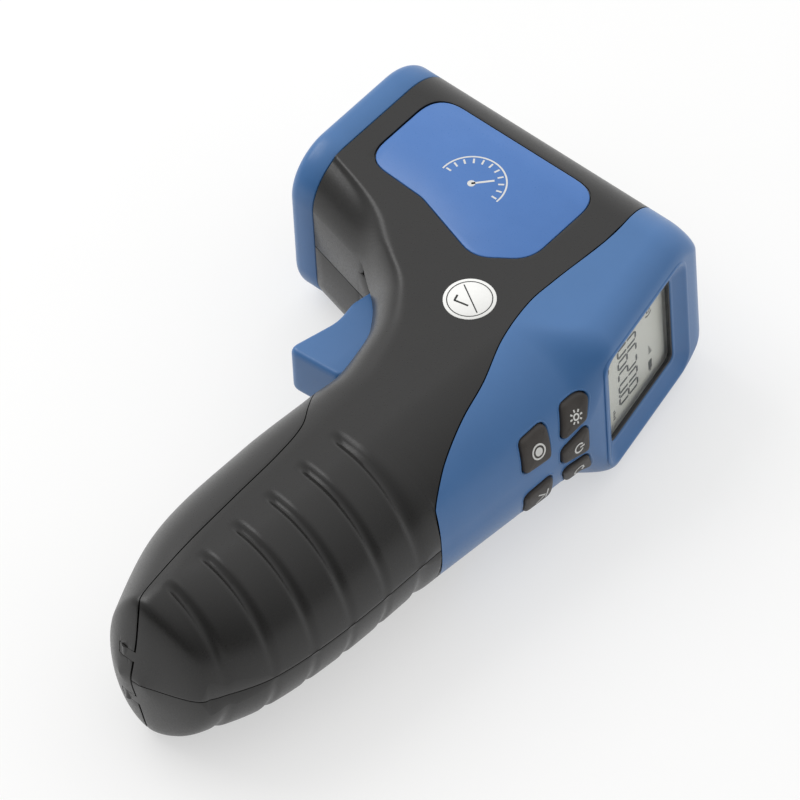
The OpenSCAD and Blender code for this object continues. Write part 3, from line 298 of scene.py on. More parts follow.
def cut(piece, *cutters):
    """Takes the cutters' volumes out of a piece."""
    for cutter in cutters:
        tool = piece.modifiers.new("cut", "BOOLEAN")
        tool.operation, tool.solver, tool.object = "DIFFERENCE", "EXACT", cutter
    apply_modifiers(piece)
    for cutter in cutters:
        bpy.data.objects.remove(cutter)


def soften(piece, width_mm, segments=2, angle=35.0):
    """A rounded bevel along every edge sharper than the angle."""
    tool = piece.modifiers.new("soft_edges", "BEVEL")
    tool.width, tool.segments = width_mm * MM, segments
    tool.limit_method, tool.angle_limit = "ANGLE", np.radians(angle)
    apply_modifiers(piece)
    smooth(piece.data)


def refine(rows, step):
    """Extra rows between the given ones, so that none are further apart than step."""
    parts = [np.linspace(a, b, max(1, int(np.ceil(abs(a - b) / step))), endpoint=False)
             for a, b in zip(rows[:-1], rows[1:])]
    return np.concatenate(parts + [[rows[-1]]])


print("cells and rims of a wall of 3 by 4 points:", len(wall_faces(3, 4)))

# %% [markdown]
# The two black halves of barrel and handle. Their front edge changes from the nose seam to the belly, the
# trigger slot, a bridge below the trigger and the seam of the battery door; their rear edge is the blue
# housing's seam and then the middle plane. The grip grooves are shallow troughs across the sides.

# %% Rows and edges of the black halves
GROOVE_N, GROOVE_PITCH, GROOVE_W, GROOVE_D, GROOVE_X, GROOVE_FIRST = 6, 11.4, 4.0, 1.15, 21.0, 13.0
GROOVE_FADE, GROOVE_LEAD, GROOVE_FALL, GROOVE_REAR_X, FALL_TOP, FALL_FOOT = 3.5, 0.5, 3.0, 46.0, 4.0, 5.0
GROOVE_Y = TIP + GROOVE_FIRST + GROOVE_PITCH * np.arange(GROOVE_N)
SLOT_FRONT_X, BELLY_BLEND = -15.7, 8.0
BELLY_END = float(belly_y(SLOT_FRONT_X))
SLOT_END, SLOT_Z, BRIDGE_Z = DOOR_Y + 4.6, 7.6, 3.0
HINGE_CLEAR, HINGE_FADE_Y, HINGE_FADE_L = 0.2, 6.5, 2.5
ROUND_STEP, BELLY_STEP, SLOT_STEP, DOOR_STEP, GRIP_STEP = 0.4, 0.8, 0.9, 0.7, 0.55
quarter, rising = np.radians(np.arange(85, -1, -5)), np.radians(np.arange(0, 91, 5))
tip_rows = TIP + TIP_R * (1 - np.cos(np.radians(np.arange(82.5, -1, -7.5))))
half_rows = np.concatenate([
    [TOP, TOP], TOP - BARREL_R + BARREL_R * np.sin(quarter), [4, -4],
    refine(-TOP + BARREL_R - BARREL_R * np.sin(rising), ROUND_STEP),
    refine([-TOP, BELLY_END], BELLY_STEP)[1:], refine([BELLY_END - 0.5, SLOT_END], SLOT_STEP),
    refine([SLOT_END - 0.8, DOOR_Y + 0.2], SLOT_STEP),
    refine([DOOR_Y, DOOR_Y - 0.6, DOOR_Y - 2, TAIL + 0.8], DOOR_STEP),
    refine([TAIL - 0.3, TIP + TIP_R], GRIP_STEP), tip_rows])


def groove(x, row):
    """Cosine-squared troughs, faded in from the middle of the side."""
    t = np.clip((row[..., None] - GROOVE_Y) / (GROOVE_W / 2), -1, 1)
    fade = ease((x - GROOVE_X + GROOVE_LEAD) / GROOVE_FADE)
    return GROOVE_D * fade * (np.cos(np.pi / 2 * t) ** 2).max(axis=-1)


def fall(x, row):
    """How far a row sinks towards the rear, along the grooves; none at the housing's seam and at the tip."""
    fade = np.minimum(ease((TAIL - GROOVE_LEAD - row) / FALL_TOP), ease((row - TIP - FALL_FOOT) / FALL_FOOT))
    return GROOVE_FALL * np.clip((x - GROOVE_X) / (GROOVE_REAR_X - GROOVE_X), 0, 1) * fade


def inner_row(row, w):
    """Rows of the inside, drawn in by w at the top, the belly and the tip."""
    same = [(y, y) for y in (TOP - BARREL_R, -TOP + BARREL_R, BELLY_END - BELLY_BLEND, TIP + 3 * TIP_R)]
    return chain([(TOP, TOP - w), *same[:2], (-TOP, -TOP + w), (BELLY_END, BELLY_END + w), *same[2:],
                  (TIP, TIP + w)], row)


def round_edge(y, z, w):
    """Where the front rounding of the handle stands z from the middle plane."""
    h = half_t(y) - w
    return curve(FRONT_LINE, y) + w + corner(h - z, h, curve(FRONT_ROUND, y) - w)


def front_edge(row, y, w):
    """The front edge of a half: nose seam, belly, trigger slot, bridge and door seam, from the top down."""
    nose = RING_X + SEAM / 2
    return np.select(
        [row > -TOP, row >= BELLY_END, row >= SLOT_END, row > DOOR_Y],
        [nose, nose + (-TOP - row) / tan(BELLY_SLOPE), round_edge(y, SLOT_Z, w), round_edge(y, BRIDGE_Z, w)],
        curve(DOOR_SEAM, y) + SEAM / 2 + HINGE_CLEAR * ease((TIP + HINGE_FADE_Y - y) / HINGE_FADE_L))


HALF_COLS, HALF_GAP, MIN_HALF = 64, 0.14, 0.02


def crowded(count):
    """Shares from 0 to 1 in count steps, crowded towards both ends: half of one minus a cosine."""
    return (1 - np.cos(np.pi * np.arange(count + 1) / count)) / 2


def half_grid(w):
    """Points of a half set in by w: x from front edge to rear edge, y along the rows, z from the skin."""
    row = half_rows[:, None]
    y0, low = inner_row(row, w), row < TAIL
    x0 = front_edge(row, y0, w)
    x1 = np.where(low, back_x(y0 - fall(GROOVE_REAR_X, row)) - w, curve(BLUE_SEAM, y0) - SEAM / 2)
    x = x0 + (x1 - x0) * crowded(HALF_COLS)
    row = np.broadcast_to(row, x.shape)
    y = y0 - fall(x, row)
    z = np.maximum(MIN_HALF, skin(x, y, w) - (groove(x, row) if w == 0 else 0))
    z[0], z[-1] = 0, 0
    z[low[:, 0], -1] = 0
    return np.stack([x, y, z], axis=-1)


def lip_column(outer, inner, w):
    """The edge before the first column: on the middle plane at belly and bridge, else part of the rim."""
    row, own = half_rows[:, None], (outer if w == 0 else inner)[:, 0]
    flat = own * [1, 1, 0]
    bridge = np.column_stack([curve(FRONT_LINE, half_rows) + w, half_rows, 0 * half_rows])
    rim = outer[:, 0] + (inner[:, 0] - outer[:, 0]) * (1 / 3 if w == 0 else 2 / 3)
    on_belly = (row <= -TOP) & (row >= BELLY_END)
    on_bridge = (row < SLOT_END) & (row > DOOR_Y)
    return np.where(on_belly, flat, np.where(on_bridge, bridge, rim))


def half_points(side):
    """Outer and inner grid of a half, kept HALF_GAP off the middle plane and turned to its side."""
    outer, inner = half_grid(0), half_grid(WALL)
    grids = [np.concatenate([lip_column(outer, inner, w)[:, None], grid], axis=1)
             for w, grid in ((0, outer), (WALL, inner))]
    return np.maximum(np.stack(grids), [-np.inf, -np.inf, HALF_GAP]) * [1, 1, side] + [0, 0, MID]


print("rows and columns of a half:", len(half_rows), HALF_COLS)

# %% [markdown]
# Openings, plates and keys start from flat outlines: lists of points that are rounded, drawn in, spaced
# evenly and raised to a height. A prism of an outline is also the tool that cuts an opening.

# %% Outlines
def rounded(corners, steps=10):
    """Outline whose corners are parabolas that touch both sides at a distance set by the radius."""
    c = np.array(corners, float)
    p, r = c[:, :2], c[:, 2:3]
    u, v = np.roll(p, 1, axis=0) - p, np.roll(p, -1, axis=0) - p
    u, v = u / np.linalg.norm(u, axis=1, keepdims=True), v / np.linalg.norm(v, axis=1, keepdims=True)
    reach = r / np.tan(np.arccos(np.clip((u * v).sum(1, keepdims=True), -1, 1)) / 2)
    t = np.linspace(0, 1, steps + 1)[None, :, None]
    a, b = (p + u * reach)[:, None], (p + v * reach)[:, None]
    return (a * (1 - t) ** 2 + p[:, None] * 2 * t * (1 - t) + b * t * t).reshape(-1, 2)


def drawn_in(outline, d):
    """The outline moved to its left by d: for one that runs anticlockwise, towards its inside."""
    along = np.roll(outline, -1, axis=0) - np.roll(outline, 1, axis=0)
    along = along / np.linalg.norm(along, axis=1, keepdims=True)
    return outline + d * np.column_stack([-along[:, 1], along[:, 0]])


def at_height(outline, z):
    """Outline points with z as their third coordinate."""
    return np.column_stack([outline, np.full(len(outline), z)])


def on_circle(centre, radius, angles):
    """Points of a circle: centre plus radius times cosine and sine."""
    return np.asarray(centre) + radius * np.column_stack([np.cos(angles), np.sin(angles)])


def arc(centre, radius, start, stop, count=40):
    """Points of a circle between two angles in degrees."""
    return on_circle(centre, radius, np.radians(np.linspace(start, stop, count)))


def disc_outline(centre, radius, count=48):
    """A whole circle whose last point is not the first again."""
    return on_circle(centre, radius, np.linspace(0, 2 * np.pi, count, endpoint=False))


def spaced(path, pick):
    """Points of a path at the distances that pick makes of its whole length."""
    s = np.concatenate([[0], np.cumsum(np.linalg.norm(np.diff(path, axis=0), axis=1))])
    return np.column_stack([np.interp(pick(s[-1]), s, path[:, k]) for k in (0, 1)])


def even(outline, step=0.35):
    """The same closed outline with points at an even spacing."""
    closed = np.concatenate([outline, outline[:1]])
    return spaced(closed, lambda length: np.linspace(0, length, int(length / step), endpoint=False))


def prism(name, outline, low, high):
    """A flat outline between two heights, closed by its two faces."""
    n = len(outline)
    points = np.concatenate([at_height(outline, low), at_height(outline, high)])
    sides = grid_quads(2, n, wrap=True).tolist()
    return make_piece(name, points, sides + [list(range(n))[::-1], list(range(n, 2 * n))])


print("points of a disc:", len(disc_outline((0, 0), 1)))

# %% [markdown]
# Both halves are the same wall, mirrored. The left one gets the recess of the label and the right one the
# screw openings. Two small webs carry the belly on to the trigger, and a tongue inside the wall bridges the
# point where both halves meet the blue housing, so that no light shows through there.

# %% The black halves
LABEL_CORNERS = [(-28.3, -11.6, 7), (-10, -12.6, 10), (11, -19, 9), (22, -11, 9), (21.9, 14.5, 8),
                 (-28.3, 14.5, 8)]
LABEL_D, LABEL_GAP, CUT_OVER = 0.8, 0.35, 1.0
SCREWS = np.array([[-22, 16.4], [22, 15], [14, -21], [32.5, TAIL - 11], [32.5, TIP + 28.8]])
SCREW_SEAT, SCREW_HOLE_D = 12.0, 5.5
WEB_X, WEB_T, WEB_LAP, WEB_SOFT, HALF_SOFT = np.array([-16.4, -12.2]), 1.8, 0.4, 0.15, 0.22
TONGUE_L, TONGUE_W, TONGUE_IN = 1.6, 5.0, (1.3, 2.1)
half_faces = wall_faces(len(half_rows), HALF_COLS + 2)
left_half = make_piece("left_half", half_points(1), half_faces)
right_half = make_piece("right_half", half_points(-1), half_faces)
cut(left_half, prism("label_cutter", rounded(LABEL_CORNERS), BODY_T - LABEL_D, BODY_T + CUT_OVER))
cut(right_half, *[prism("screw_cutter", disc_outline(p, SCREW_HOLE_D / 2), -CUT_OVER, MID - SCREW_SEAT)
                  for p in SCREWS])


def band_between(a, b):
    """Closed outline along one line and back along another."""
    return np.concatenate([np.column_stack(a), np.column_stack(b)[::-1]])


web_outline = band_between((WEB_X, belly_y(WEB_X)), (WEB_X, belly_y(WEB_X) + WEB_T))
webs = [prism(f"belly_web_{k}", web_outline, *sorted(MID + side * z for z in (HALF_GAP, SLOT_Z + WEB_LAP)))
        for k, side in enumerate((1, -1))]
tongue_y = TAIL + np.linspace(-TONGUE_L, TONGUE_L, 9)
tongue_outline = band_between(*[(back_x(tongue_y) - depth, tongue_y) for depth in TONGUE_IN])
webs.append(prism("seam_tongue", tongue_outline, MID - TONGUE_W, MID + TONGUE_W))
for piece in webs:
    soften(piece, WEB_SOFT)
    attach(piece, "body")
for piece, node in ((left_half, "left_shell"), (right_half, "right_shell")):
    soften(piece, HALF_SOFT)
    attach(piece, "body")
    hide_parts(node)
print("black halves:", len(left_half.data.polygons), "and", len(right_half.data.polygons), "faces")

# %% [markdown]
# The blue rear housing wraps the screen and the keys. One grid runs from the left seam round the back to the
# right seam. The screen recess and the five key openings are then cut out of it.

# %% The rear housing
TAIL_SOLID, TAIL_FALL, FALL_START, FALL_L, TAIL_BLEND = 7.0, 1.05, 7.0, 6.0, 15.0
SCREEN_UP, SCREEN_W, SCREEN_H, BEVEL_W, RECESS_D, FLOOR_T, BEZEL_R = 19.6, 28.0, 29.5, 4.2, 1.8, 1.4, 5.0
PANE_Z, BEZEL = RECESS_D + FLOOR_T, 2 * BEVEL_W
KEY_GAP, KEY_RISE, KEY_CUT_X = 0.35, 0.98, (REAR - 14, REAR + 4)
HOUSING_COLS, FACE_COLS, HAIR = 40, 12, 0.001
SIDE_STEP, KEYS_STEP, TAIL_STEP = 1.2, 0.8, 0.6
housing_rows = np.concatenate([
    [TOP, TOP], TOP - BARREL_R + BARREL_R * np.sin(quarter), refine([9, FLAT_END], SIDE_STEP),
    refine([FLAT_END, TAIL + 9], KEYS_STEP)[1:], refine([TAIL + 9, TAIL + 1], TAIL_STEP)[1:]])


def mirrored(left):
    """A grid that ends on the middle plane, joined to its mirror image and moved to the part's frame."""
    return np.concatenate([left, left[:, -2::-1] * [1, 1, -1]], axis=1) + [0, 0, MID]


def housing_grid(w):
    """Points of the housing set in by w, left half from the seam to the back, then its mirror image."""
    row = housing_rows[:, None]
    y0 = row if w == 0 else chain([(TOP, TOP - w), (TOP - BARREL_R, TOP - BARREL_R),
                                   (TAIL + TAIL_BLEND, TAIL + TAIL_BLEND), (TAIL, TAIL + TAIL_SOLID)], row)
    t = crowded(HOUSING_COLS)
    y = y0 - (TAIL_FALL * t * ease((TAIL + FALL_START - row) / FALL_L) if w == 0 else 0 * t)
    x0 = curve(BLUE_SEAM, y0) + SEAM / 2
    x = x0 + (back_x(y) - w - x0) * t
    z = skin(np.minimum(x, back_x(y0) - w - HAIR), y, w)
    z[0] = 0
    shares = np.linspace(1, 0, FACE_COLS + 1)[1:]
    back = np.stack([np.repeat(x[:, -1:], FACE_COLS, 1), np.repeat(y[:, -1:], FACE_COLS, 1),
                     z[:, -1:] * shares], axis=-1)
    return mirrored(np.concatenate([np.stack([x, y, z], axis=-1), back], axis=1))


LEAN = np.radians(SCREEN_LEAN)
SCREEN_MID = np.array([REAR - SCREEN_UP * np.sin(LEAN), APEX_Y + SCREEN_UP * np.cos(LEAN), MID])
SCREEN_RIGHT, SCREEN_UPWARD = np.array([0, 0, -1.0]), np.array([-np.sin(LEAN), np.cos(LEAN), 0])
SCREEN_OUT = np.array([np.cos(LEAN), np.sin(LEAN), 0])


def on_screen(points):
    """Points given as right, up and out of the screen face, in the part's frame."""
    p = np.asarray(points, float)
    return SCREEN_MID + p[..., :1] * SCREEN_RIGHT + p[..., 1:2] * SCREEN_UPWARD + p[..., 2:3] * SCREEN_OUT


def box_outline(w, h, r, steps=10):
    """A box with round corners about the origin."""
    return rounded([(-w / 2, -h / 2, r), (w / 2, -h / 2, r), (w / 2, h / 2, r), (-w / 2, h / 2, r)], steps)


def screen_rings(levels):
    """Rounded boxes given as growth beyond the opening, corner radius and height out of the screen face."""
    return on_screen([at_height(box_outline(SCREEN_W + d, SCREEN_H + d, r), out) for d, r, out in levels])


def loft(name, rings, smooth_angle=40.0):
    """Rings of equal length joined one to the next; the end rings are closed by a face."""
    rings = np.asarray(rings, float)
    rows, cols = rings.shape[:2]
    ends = [list(range(cols))[::-1], list(range((rows - 1) * cols, rows * cols))]
    return make_piece(name, rings, grid_quads(rows, cols, wrap=True).tolist() + ends, smooth_angle)


POWER = [(-4.4, -28.2, 1.6), (4.4, -28.2, 1.6), (2.3, -36.7, 1.6), (-2.3, -36.7, 1.6)][::-1]
UPPER = [(6.1, -28.4, 1.6), (13.3, -25.9, 1.8), (13, -33.4, 1.8), (4.9, -36.7, 1.6)][::-1]
LOWER = [(3.2, -40.2, 1.6), (12.7, -39, 1.8), (12.1, -47.2, 1.8), (3.9, -48.8, 1.6)][::-1]


def other_side(corners):
    """The same key on the other side of the middle plane."""
    return [(-z, y, r) for z, y, r in corners][::-1]


KEY_CORNERS = {"key_light": UPPER, "key_power": POWER, "key_auto": other_side(UPPER), "key_record": LOWER,
               "key_max": other_side(LOWER)}
KEY_OUTLINES = {name: even(rounded(c)) for name, c in KEY_CORNERS.items()}


def on_keys(outline, w, lift):
    """Outline points, as distance from the middle plane and height, laid on the rear skin and lifted."""
    z, y = outline[..., 0], outline[..., 1]
    return np.stack([rear_skin(y, z, w) + lift, y, MID + z], axis=-1)


def key_cutter(outline):
    """The opening of a key, as a straight plug through the wall."""
    ring = drawn_in(outline, -KEY_GAP)
    return loft("key_cutter", [np.column_stack([np.full(len(ring), x), ring[:, 1], MID + ring[:, 0]])
                               for x in KEY_CUT_X])


housing = make_piece("rear_cover", np.stack([housing_grid(0), housing_grid(WALL)]),
                     wall_faces(len(housing_rows), 2 * (HOUSING_COLS + FACE_COLS) + 1, first=False))
recess = [(BEZEL, BEZEL_R, out) for out in (-PANE_Z - CUT_OVER, 2 * CUT_OVER)]
cut(housing, loft("recess_cutter", screen_rings(recess)), *[key_cutter(o) for o in KEY_OUTLINES.values()])
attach(housing, "body")
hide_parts("rear_housing")
print("rear cover:", len(housing.data.polygons), "faces")

# %% [markdown]
# The bevelled frame of the screen is one profile carried round the opening, from the rim over the bevel down
# to the pane. A black lining inside it is a dark printed border, and it also paints the shade that falls on
# the opening's inner wall. A bead along each key opening stands for the soft moulded edge.

# %% The screen's bevelled frame and the lips round the keys
ROUND_DEG, OPENING_R, PANE_CLEAR = 60.0, 2.0, 0.02
LINING_T, LINING_FIT, LINING_TOP, LINING_SLOPE = 0.35, 0.04, 0.3, 0.15
LIP_ANGLES, LIP_R, LIP_OUT, LIP_SINK = np.linspace(0, 2 * np.pi, 12, endpoint=False), 0.28, 0.02, 0.16


def ring_sweep(name, rings):
    """A closed profile carried round an outline: rings of equal length whose last joins the first."""
    rings = np.asarray(rings, float)
    rows, cols = rings.shape[:2]
    closed = np.concatenate([rings, rings[:1]])
    return make_piece(name, closed, grid_quads(rows + 1, cols, wrap=True), ROUND_DEG)


# Growth beyond the opening, corner radius, height out of the face: over the rim and down the bevel
RIM_LEVELS = [(BEZEL + 1.2, BEZEL_R + 0.5, -0.6), (BEZEL + 1.2, BEZEL_R + 0.5, 0.02),
              (BEZEL + 0.7, BEZEL_R + 0.3, 0.16), (BEZEL, BEZEL_R, 0.2), (BEZEL - 0.7, BEZEL_R - 0.3, 0.1),
              (BEZEL - 1.3, BEZEL_R - 0.6, -0.15), (1.9, 2.4, -RECESS_D + 0.12), (1, 2.2, -RECESS_D),
              (0.2, OPENING_R, -RECESS_D), (0, OPENING_R, -RECESS_D - 0.1),
              (0, OPENING_R, -PANE_Z + PANE_CLEAR), (BEZEL + 0.4, BEZEL_R, -PANE_Z + PANE_CLEAR)]
bezel = ring_sweep("screen_frame", screen_rings(RIM_LEVELS))
# A black lining of the opening's inner wall: partly the dark printed border, partly painted shade where the
# wall lies in shadow.
lining_levels = [(0, -RECESS_D - LINING_TOP), (0, -PANE_Z + LINING_FIT), (2 * LINING_T, -PANE_Z + LINING_FIT),
                 (2 * LINING_T, -RECESS_D - LINING_TOP - LINING_SLOPE)]
border_and_shade_lining = ring_sweep("screen_border_and_painted_shade",
                    screen_rings([(-LINING_FIT - d, OPENING_R, out) for d, out in lining_levels]))
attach(border_and_shade_lining, "body")


def key_lip(name, outline):
    """A round bead of radius LIP_R, half sunk in the skin, along the edge of a key opening."""
    beads = [(LIP_R * np.cos(a), LIP_R * np.sin(a)) for a in LIP_ANGLES]
    rings = [on_keys(drawn_in(outline, -KEY_GAP - LIP_R - LIP_OUT + d), 0, lift - LIP_SINK)
             for d, lift in beads]
    return ring_sweep(name + "_lip", rings)


lips = [key_lip(name, outline) for name, outline in KEY_OUTLINES.items()]
for piece in (bezel, *lips):
    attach(piece, "body")
print("frame and lips:", 1 + len(lips), "pieces")

# %% [markdown]
# The battery door is the front of the handle between its seams. It is a wall made as the halves are, with its
# columns crowded towards the front so that the round nose of the grip stays smooth.

# %% The battery door
DOOR_COLS, DOOR_TOP_SOLID, DOOR_BLEND, DOOR_SOFT = 26, 3.0, 14.0, 0.2
HINGE = np.array([17.6, TIP + 2.1])
HINGE_ROOM, KNUCKLE_R, KNUCKLE_W, EAR_GAP, EAR_W, EAR_L = 3.2, 1.8, 12.0, 0.12, 2.9, 6.0
EAR_LOW, EAR_TOP, EAR_STEP, SWEEP, PIN_COVER = -1.5, 1.6, 0.2, (-122.0, 60.0), 1.2
HALVINGS, SKIN_CLEAR = 24, 0.03
door_rows = np.concatenate([
    refine([DOOR_Y - 0.25, DOOR_Y - 0.8, DOOR_Y - 2, TIP + 16, TIP + TIP_R], SLOT_STEP), tip_rows])


def door_grid(w):
    """Points of the door set in by w, from the left seam round the front to the right seam."""
    row = door_rows[:, None]
    y = row if w == 0 else chain([(DOOR_Y, DOOR_Y - DOOR_TOP_SOLID),
                                  (DOOR_Y - DOOR_BLEND, DOOR_Y - DOOR_BLEND),
                                  (TIP + 3 * TIP_R, TIP + 3 * TIP_R), (TIP, TIP + w)], row)
    x0, x1 = curve(DOOR_SEAM, y) - SEAM / 2, curve(FRONT_LINE, y) + w
    x = x0 + (x1 - x0) * np.sin(np.pi / 2 * np.arange(DOOR_COLS + 1) / DOOR_COLS)
    y = np.broadcast_to(y, x.shape)
    z = np.maximum(MIN_HALF, skin(x, y, w))
    z[:, -1], z[-1] = 0, 0
    return mirrored(np.stack([x, y, z], axis=-1))


door = make_piece("door", np.stack([door_grid(0), door_grid(WALL)]),
                  wall_faces(len(door_rows), 2 * DOOR_COLS + 1, last=False))
ear_room = EAR_W + 2 * EAR_GAP
notch_z = [MID + KNUCKLE_W / 2, MID - KNUCKLE_W / 2 - ear_room]
sector = np.concatenate([[HINGE], arc(HINGE, HINGE_ROOM, *SWEEP, 24)])
cut(door, *[prism("notch_cutter", shape, z, z + ear_room) for z in notch_z
            for shape in (disc_outline(HINGE, KNUCKLE_R + EAR_GAP), sector)])
soften(door, DOOR_SOFT)
ear_outline = even(np.concatenate([arc(HINGE, KNUCKLE_R, 90, 270, 24),
                                   HINGE + [[EAR_L, EAR_LOW], [EAR_L, EAR_TOP]]]), EAR_STEP)


def under_skin(outline, z):
    """An outline z from the middle plane, drawn towards the hinge where it would pierce the skin."""
    way = outline - HINGE
    low, high = np.zeros(len(way)), np.ones(len(way)) * 2
    for _ in range(HALVINGS):
        middle = (low + high) / 2
        x, y = (HINGE + way * middle[:, None]).T
        within = skin(x, y, 0) >= abs(z) + SKIN_CLEAR
        low, high = np.where(within, middle, low), np.where(within, high, middle)
    reach = np.clip(low, PIN_COVER / np.linalg.norm(way, axis=1), 1)
    return at_height(HINGE + way * reach[:, None], MID + z)


ear_z = KNUCKLE_W / 2 + EAR_GAP + np.linspace(0, EAR_W, 9)
ears = [loft(f"hinge_ear_{k}", [under_skin(ear_outline, side * z) for z in ear_z])
        for k, side in enumerate((1, -1))]
knuckle_outline, knuckle_z = disc_outline(HINGE, KNUCKLE_R), np.linspace(-0.5, 0.5, 25) * KNUCKLE_W
knuckle = loft("door_knuckle", [under_skin(knuckle_outline, z) for z in knuckle_z])
for piece in ears:
    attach(piece, "body")
for piece in (door, knuckle):
    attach(piece, "door_body")
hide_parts("battery_door")
print("battery door:", len(door.data.polygons), "faces")

# %% [markdown]
# The nose ring is one profile, with a soft front edge, a lip for the window and a spigot, carried round a
# rounded square. The trigger is a stack of its own side outline, drawn in near both sides to round the edges.

# %% Nose ring
RING_FRONT_R, LIP_W, LIP_L, SPIGOT_L, SPIGOT_T, SLACK, RING_SOFT = 3.0, 5.5, 3.0, 3.0, 1.5, 0.15, 0.2
front_turn = np.radians(np.linspace(0, 90, 13))
ring_end, spigot_out = RING_L - SEAM / 2, -WALL - SLACK
# Distance out from the barrel's side and distance back from the front: lip, round front edge, side, spigot
ring_profile = np.concatenate([
    [[-LIP_W, LIP_L], [-LIP_W, 0.9], [-LIP_W + 0.25, 0.3], [-LIP_W + 0.8, 0.02]],
    RING_FRONT_R * np.column_stack([np.sin(front_turn) - 1, 1 - np.cos(front_turn)]),
    [[0, ring_end - RING_SOFT], [-RING_SOFT, ring_end], [spigot_out, ring_end],
     [spigot_out, RING_L + SPIGOT_L], [spigot_out - SPIGOT_T, RING_L + SPIGOT_L],
     [spigot_out - SPIGOT_T, RING_L],
     [-LIP_W + 2, RING_L - 1.5], [-LIP_W + 2, LIP_L]]])


def rounded_square(half, r, steps=24):
    """Middle of the corner and outward direction for each point of a square with round corners."""
    quarters = np.arange(4) * np.pi / 2
    a = np.concatenate([np.linspace(q, q + np.pi / 2, steps) for q in quarters])
    q = np.repeat(quarters, steps) + np.pi / 4
    centre = np.column_stack([np.sign(np.cos(q)), np.sign(np.sin(q))]) * (half - r)
    return centre, np.column_stack([np.cos(a), np.sin(a)])


centres, outwards = rounded_square(TOP, BARREL_R)
ring_yz = centres[None] + outwards[None] * (BARREL_R + ring_profile[:, None, :1])
ring_x = np.broadcast_to(-NOSE + ring_profile[:, None, 1:], ring_yz.shape[:2] + (1,))
nose = ring_sweep("nose_band", np.concatenate([ring_x, ring_yz], axis=-1) + [0, 0, MID])
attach(nose, "body")
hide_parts("nose_ring")
print("nose ring:", len(nose.data.polygons), "faces")

# %% Trigger
PIVOT, TRIGGER_W, PIN_D, PIN_CLEAR = np.array([-3, BELLY_END - 2.8]), 14.0, 3.0, 0.05
EDGE_IN, EDGE_UP, TRIGGER_STEP = 1.2, 1.9, 0.4
TRIGGER_CORNERS = [(PIVOT[0] - 7.5, PIVOT[1] + 3.4, 2.5), (-11.9, -36, 6), (-10.9, -42, 12),
                   (-14.5, -56, 2.4), (1.6, -55, 2.5), (1, -44, 8), (PIVOT[0] + 3.6, -37.5, 5),
                   (PIVOT[0] + 4.2, PIVOT[1] + 3.4, 4)]
trigger_outline = even(rounded(TRIGGER_CORNERS), TRIGGER_STEP)
edge = np.radians(np.linspace(90, 0, 9))
upper = np.column_stack([EDGE_IN * (1 - np.cos(edge)), TRIGGER_W / 2 - EDGE_UP * (1 - np.sin(edge))])
edge_levels = np.concatenate([upper, upper[::-1] * [1, -1]])
trigger_rings = [at_height(drawn_in(trigger_outline, d), MID + z) for d, z in edge_levels]
trigger = loft("trigger_fin", trigger_rings, ROUND_DEG)
cut(trigger, prism("pin_cutter", disc_outline(PIVOT, PIN_D / 2 + PIN_CLEAR), MID - TRIGGER_W,
                   MID + TRIGGER_W))
smooth(trigger.data)
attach(trigger, "trigger_body")
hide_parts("trigger")
print("trigger:", len(trigger.data.polygons), "faces")

# %% [markdown]
# Each key is a soft cap on the rounded rear. Rings of its outline are drawn in step by step over the edge,
# and the top runs on to the middle in smaller rings. The white legends are strokes laid just above the cap.

# %% Keys
KEY_FLANGE, FLANGE_T, FLANGE_GAP = 0.7, 1.0, 0.4
CAP_STEPS = [(1.7, 0.06), (1.1, 0.03), (0.7, -0.03), (0.4, -0.13), (0.18, -0.28), (0.05, -0.5), (0.0, -0.75)]
TOP_SCALES, CROWN, CAP_DEG = (0.02, 0.3, 0.55, 0.8), 0.12, 55.0


def key_cap(name, outline):
    """Top rings scaled from the middle, edge rings drawn in by CAP_STEPS, then a side and a flange."""
    centre, (inset, top_lift) = outline.mean(axis=0), CAP_STEPS[0]
    top = drawn_in(outline, inset)
    rings = [on_keys(centre + (top - centre) * s, 0, KEY_RISE + top_lift + CROWN * (1 - s * s))
             for s in TOP_SCALES]
    rings += [on_keys(drawn_in(outline, d), 0, KEY_RISE + lift) for d, lift in CAP_STEPS]
    rings += [on_keys(drawn_in(outline, d), WALL, lift) for d, lift in
              ((0, -FLANGE_GAP), (-KEY_FLANGE, -FLANGE_GAP), (-KEY_FLANGE, -FLANGE_GAP - FLANGE_T))]
    return loft(name + "_cap", rings, CAP_DEG)


keys = {name: key_cap(name, outline) for name, outline in KEY_OUTLINES.items()}
for name, piece in keys.items():
    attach(piece, name + "_body")
    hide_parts(name)
print("keys:", sorted(keys))

# %% [markdown]
# A sign is a list of strokes. Each stroke is a thin closed band with four-cornered sections, and the same
# bands serve for the signs on the keys and for the prints on the side.

# %% Key legends
LEGEND_W, LEGEND_T, LEGEND_LIFT, LEGEND_SIZE = 0.42, 0.05, 0.14, 0.95


def stroke(path, width, steps=40):
    """A band of the given width along a path, as left and right edges at even steps."""
    p = spaced(np.asarray(path, float), lambda length: np.linspace(0, length, steps))
    along = np.gradient(p, axis=0)
    side = np.column_stack([-along[:, 1], along[:, 0]]) / np.linalg.norm(along, axis=1, keepdims=True)
    return p + side * width / 2, p - side * width / 2


def bands(name, edges, lay, low, high):
    """Closed bands between pairs of edges, laid on a surface by lay at two heights, as one piece."""
    points, faces = [], []
    for a, b in edges:
        ring = np.stack([lay(a, low), lay(b, low), lay(b, high), lay(a, high)], axis=1)
        start, n = sum(len(p) for p in points), len(ring)
        faces += grid_quads(n, 4, start, wrap=True).tolist()
        faces += [[start + k for k in range(4)], [start + 4 * n - k for k in (1, 2, 3, 4)]]
        points.append(ring.reshape(-1, 3))
    return make_piece(name, np.concatenate(points), faces)


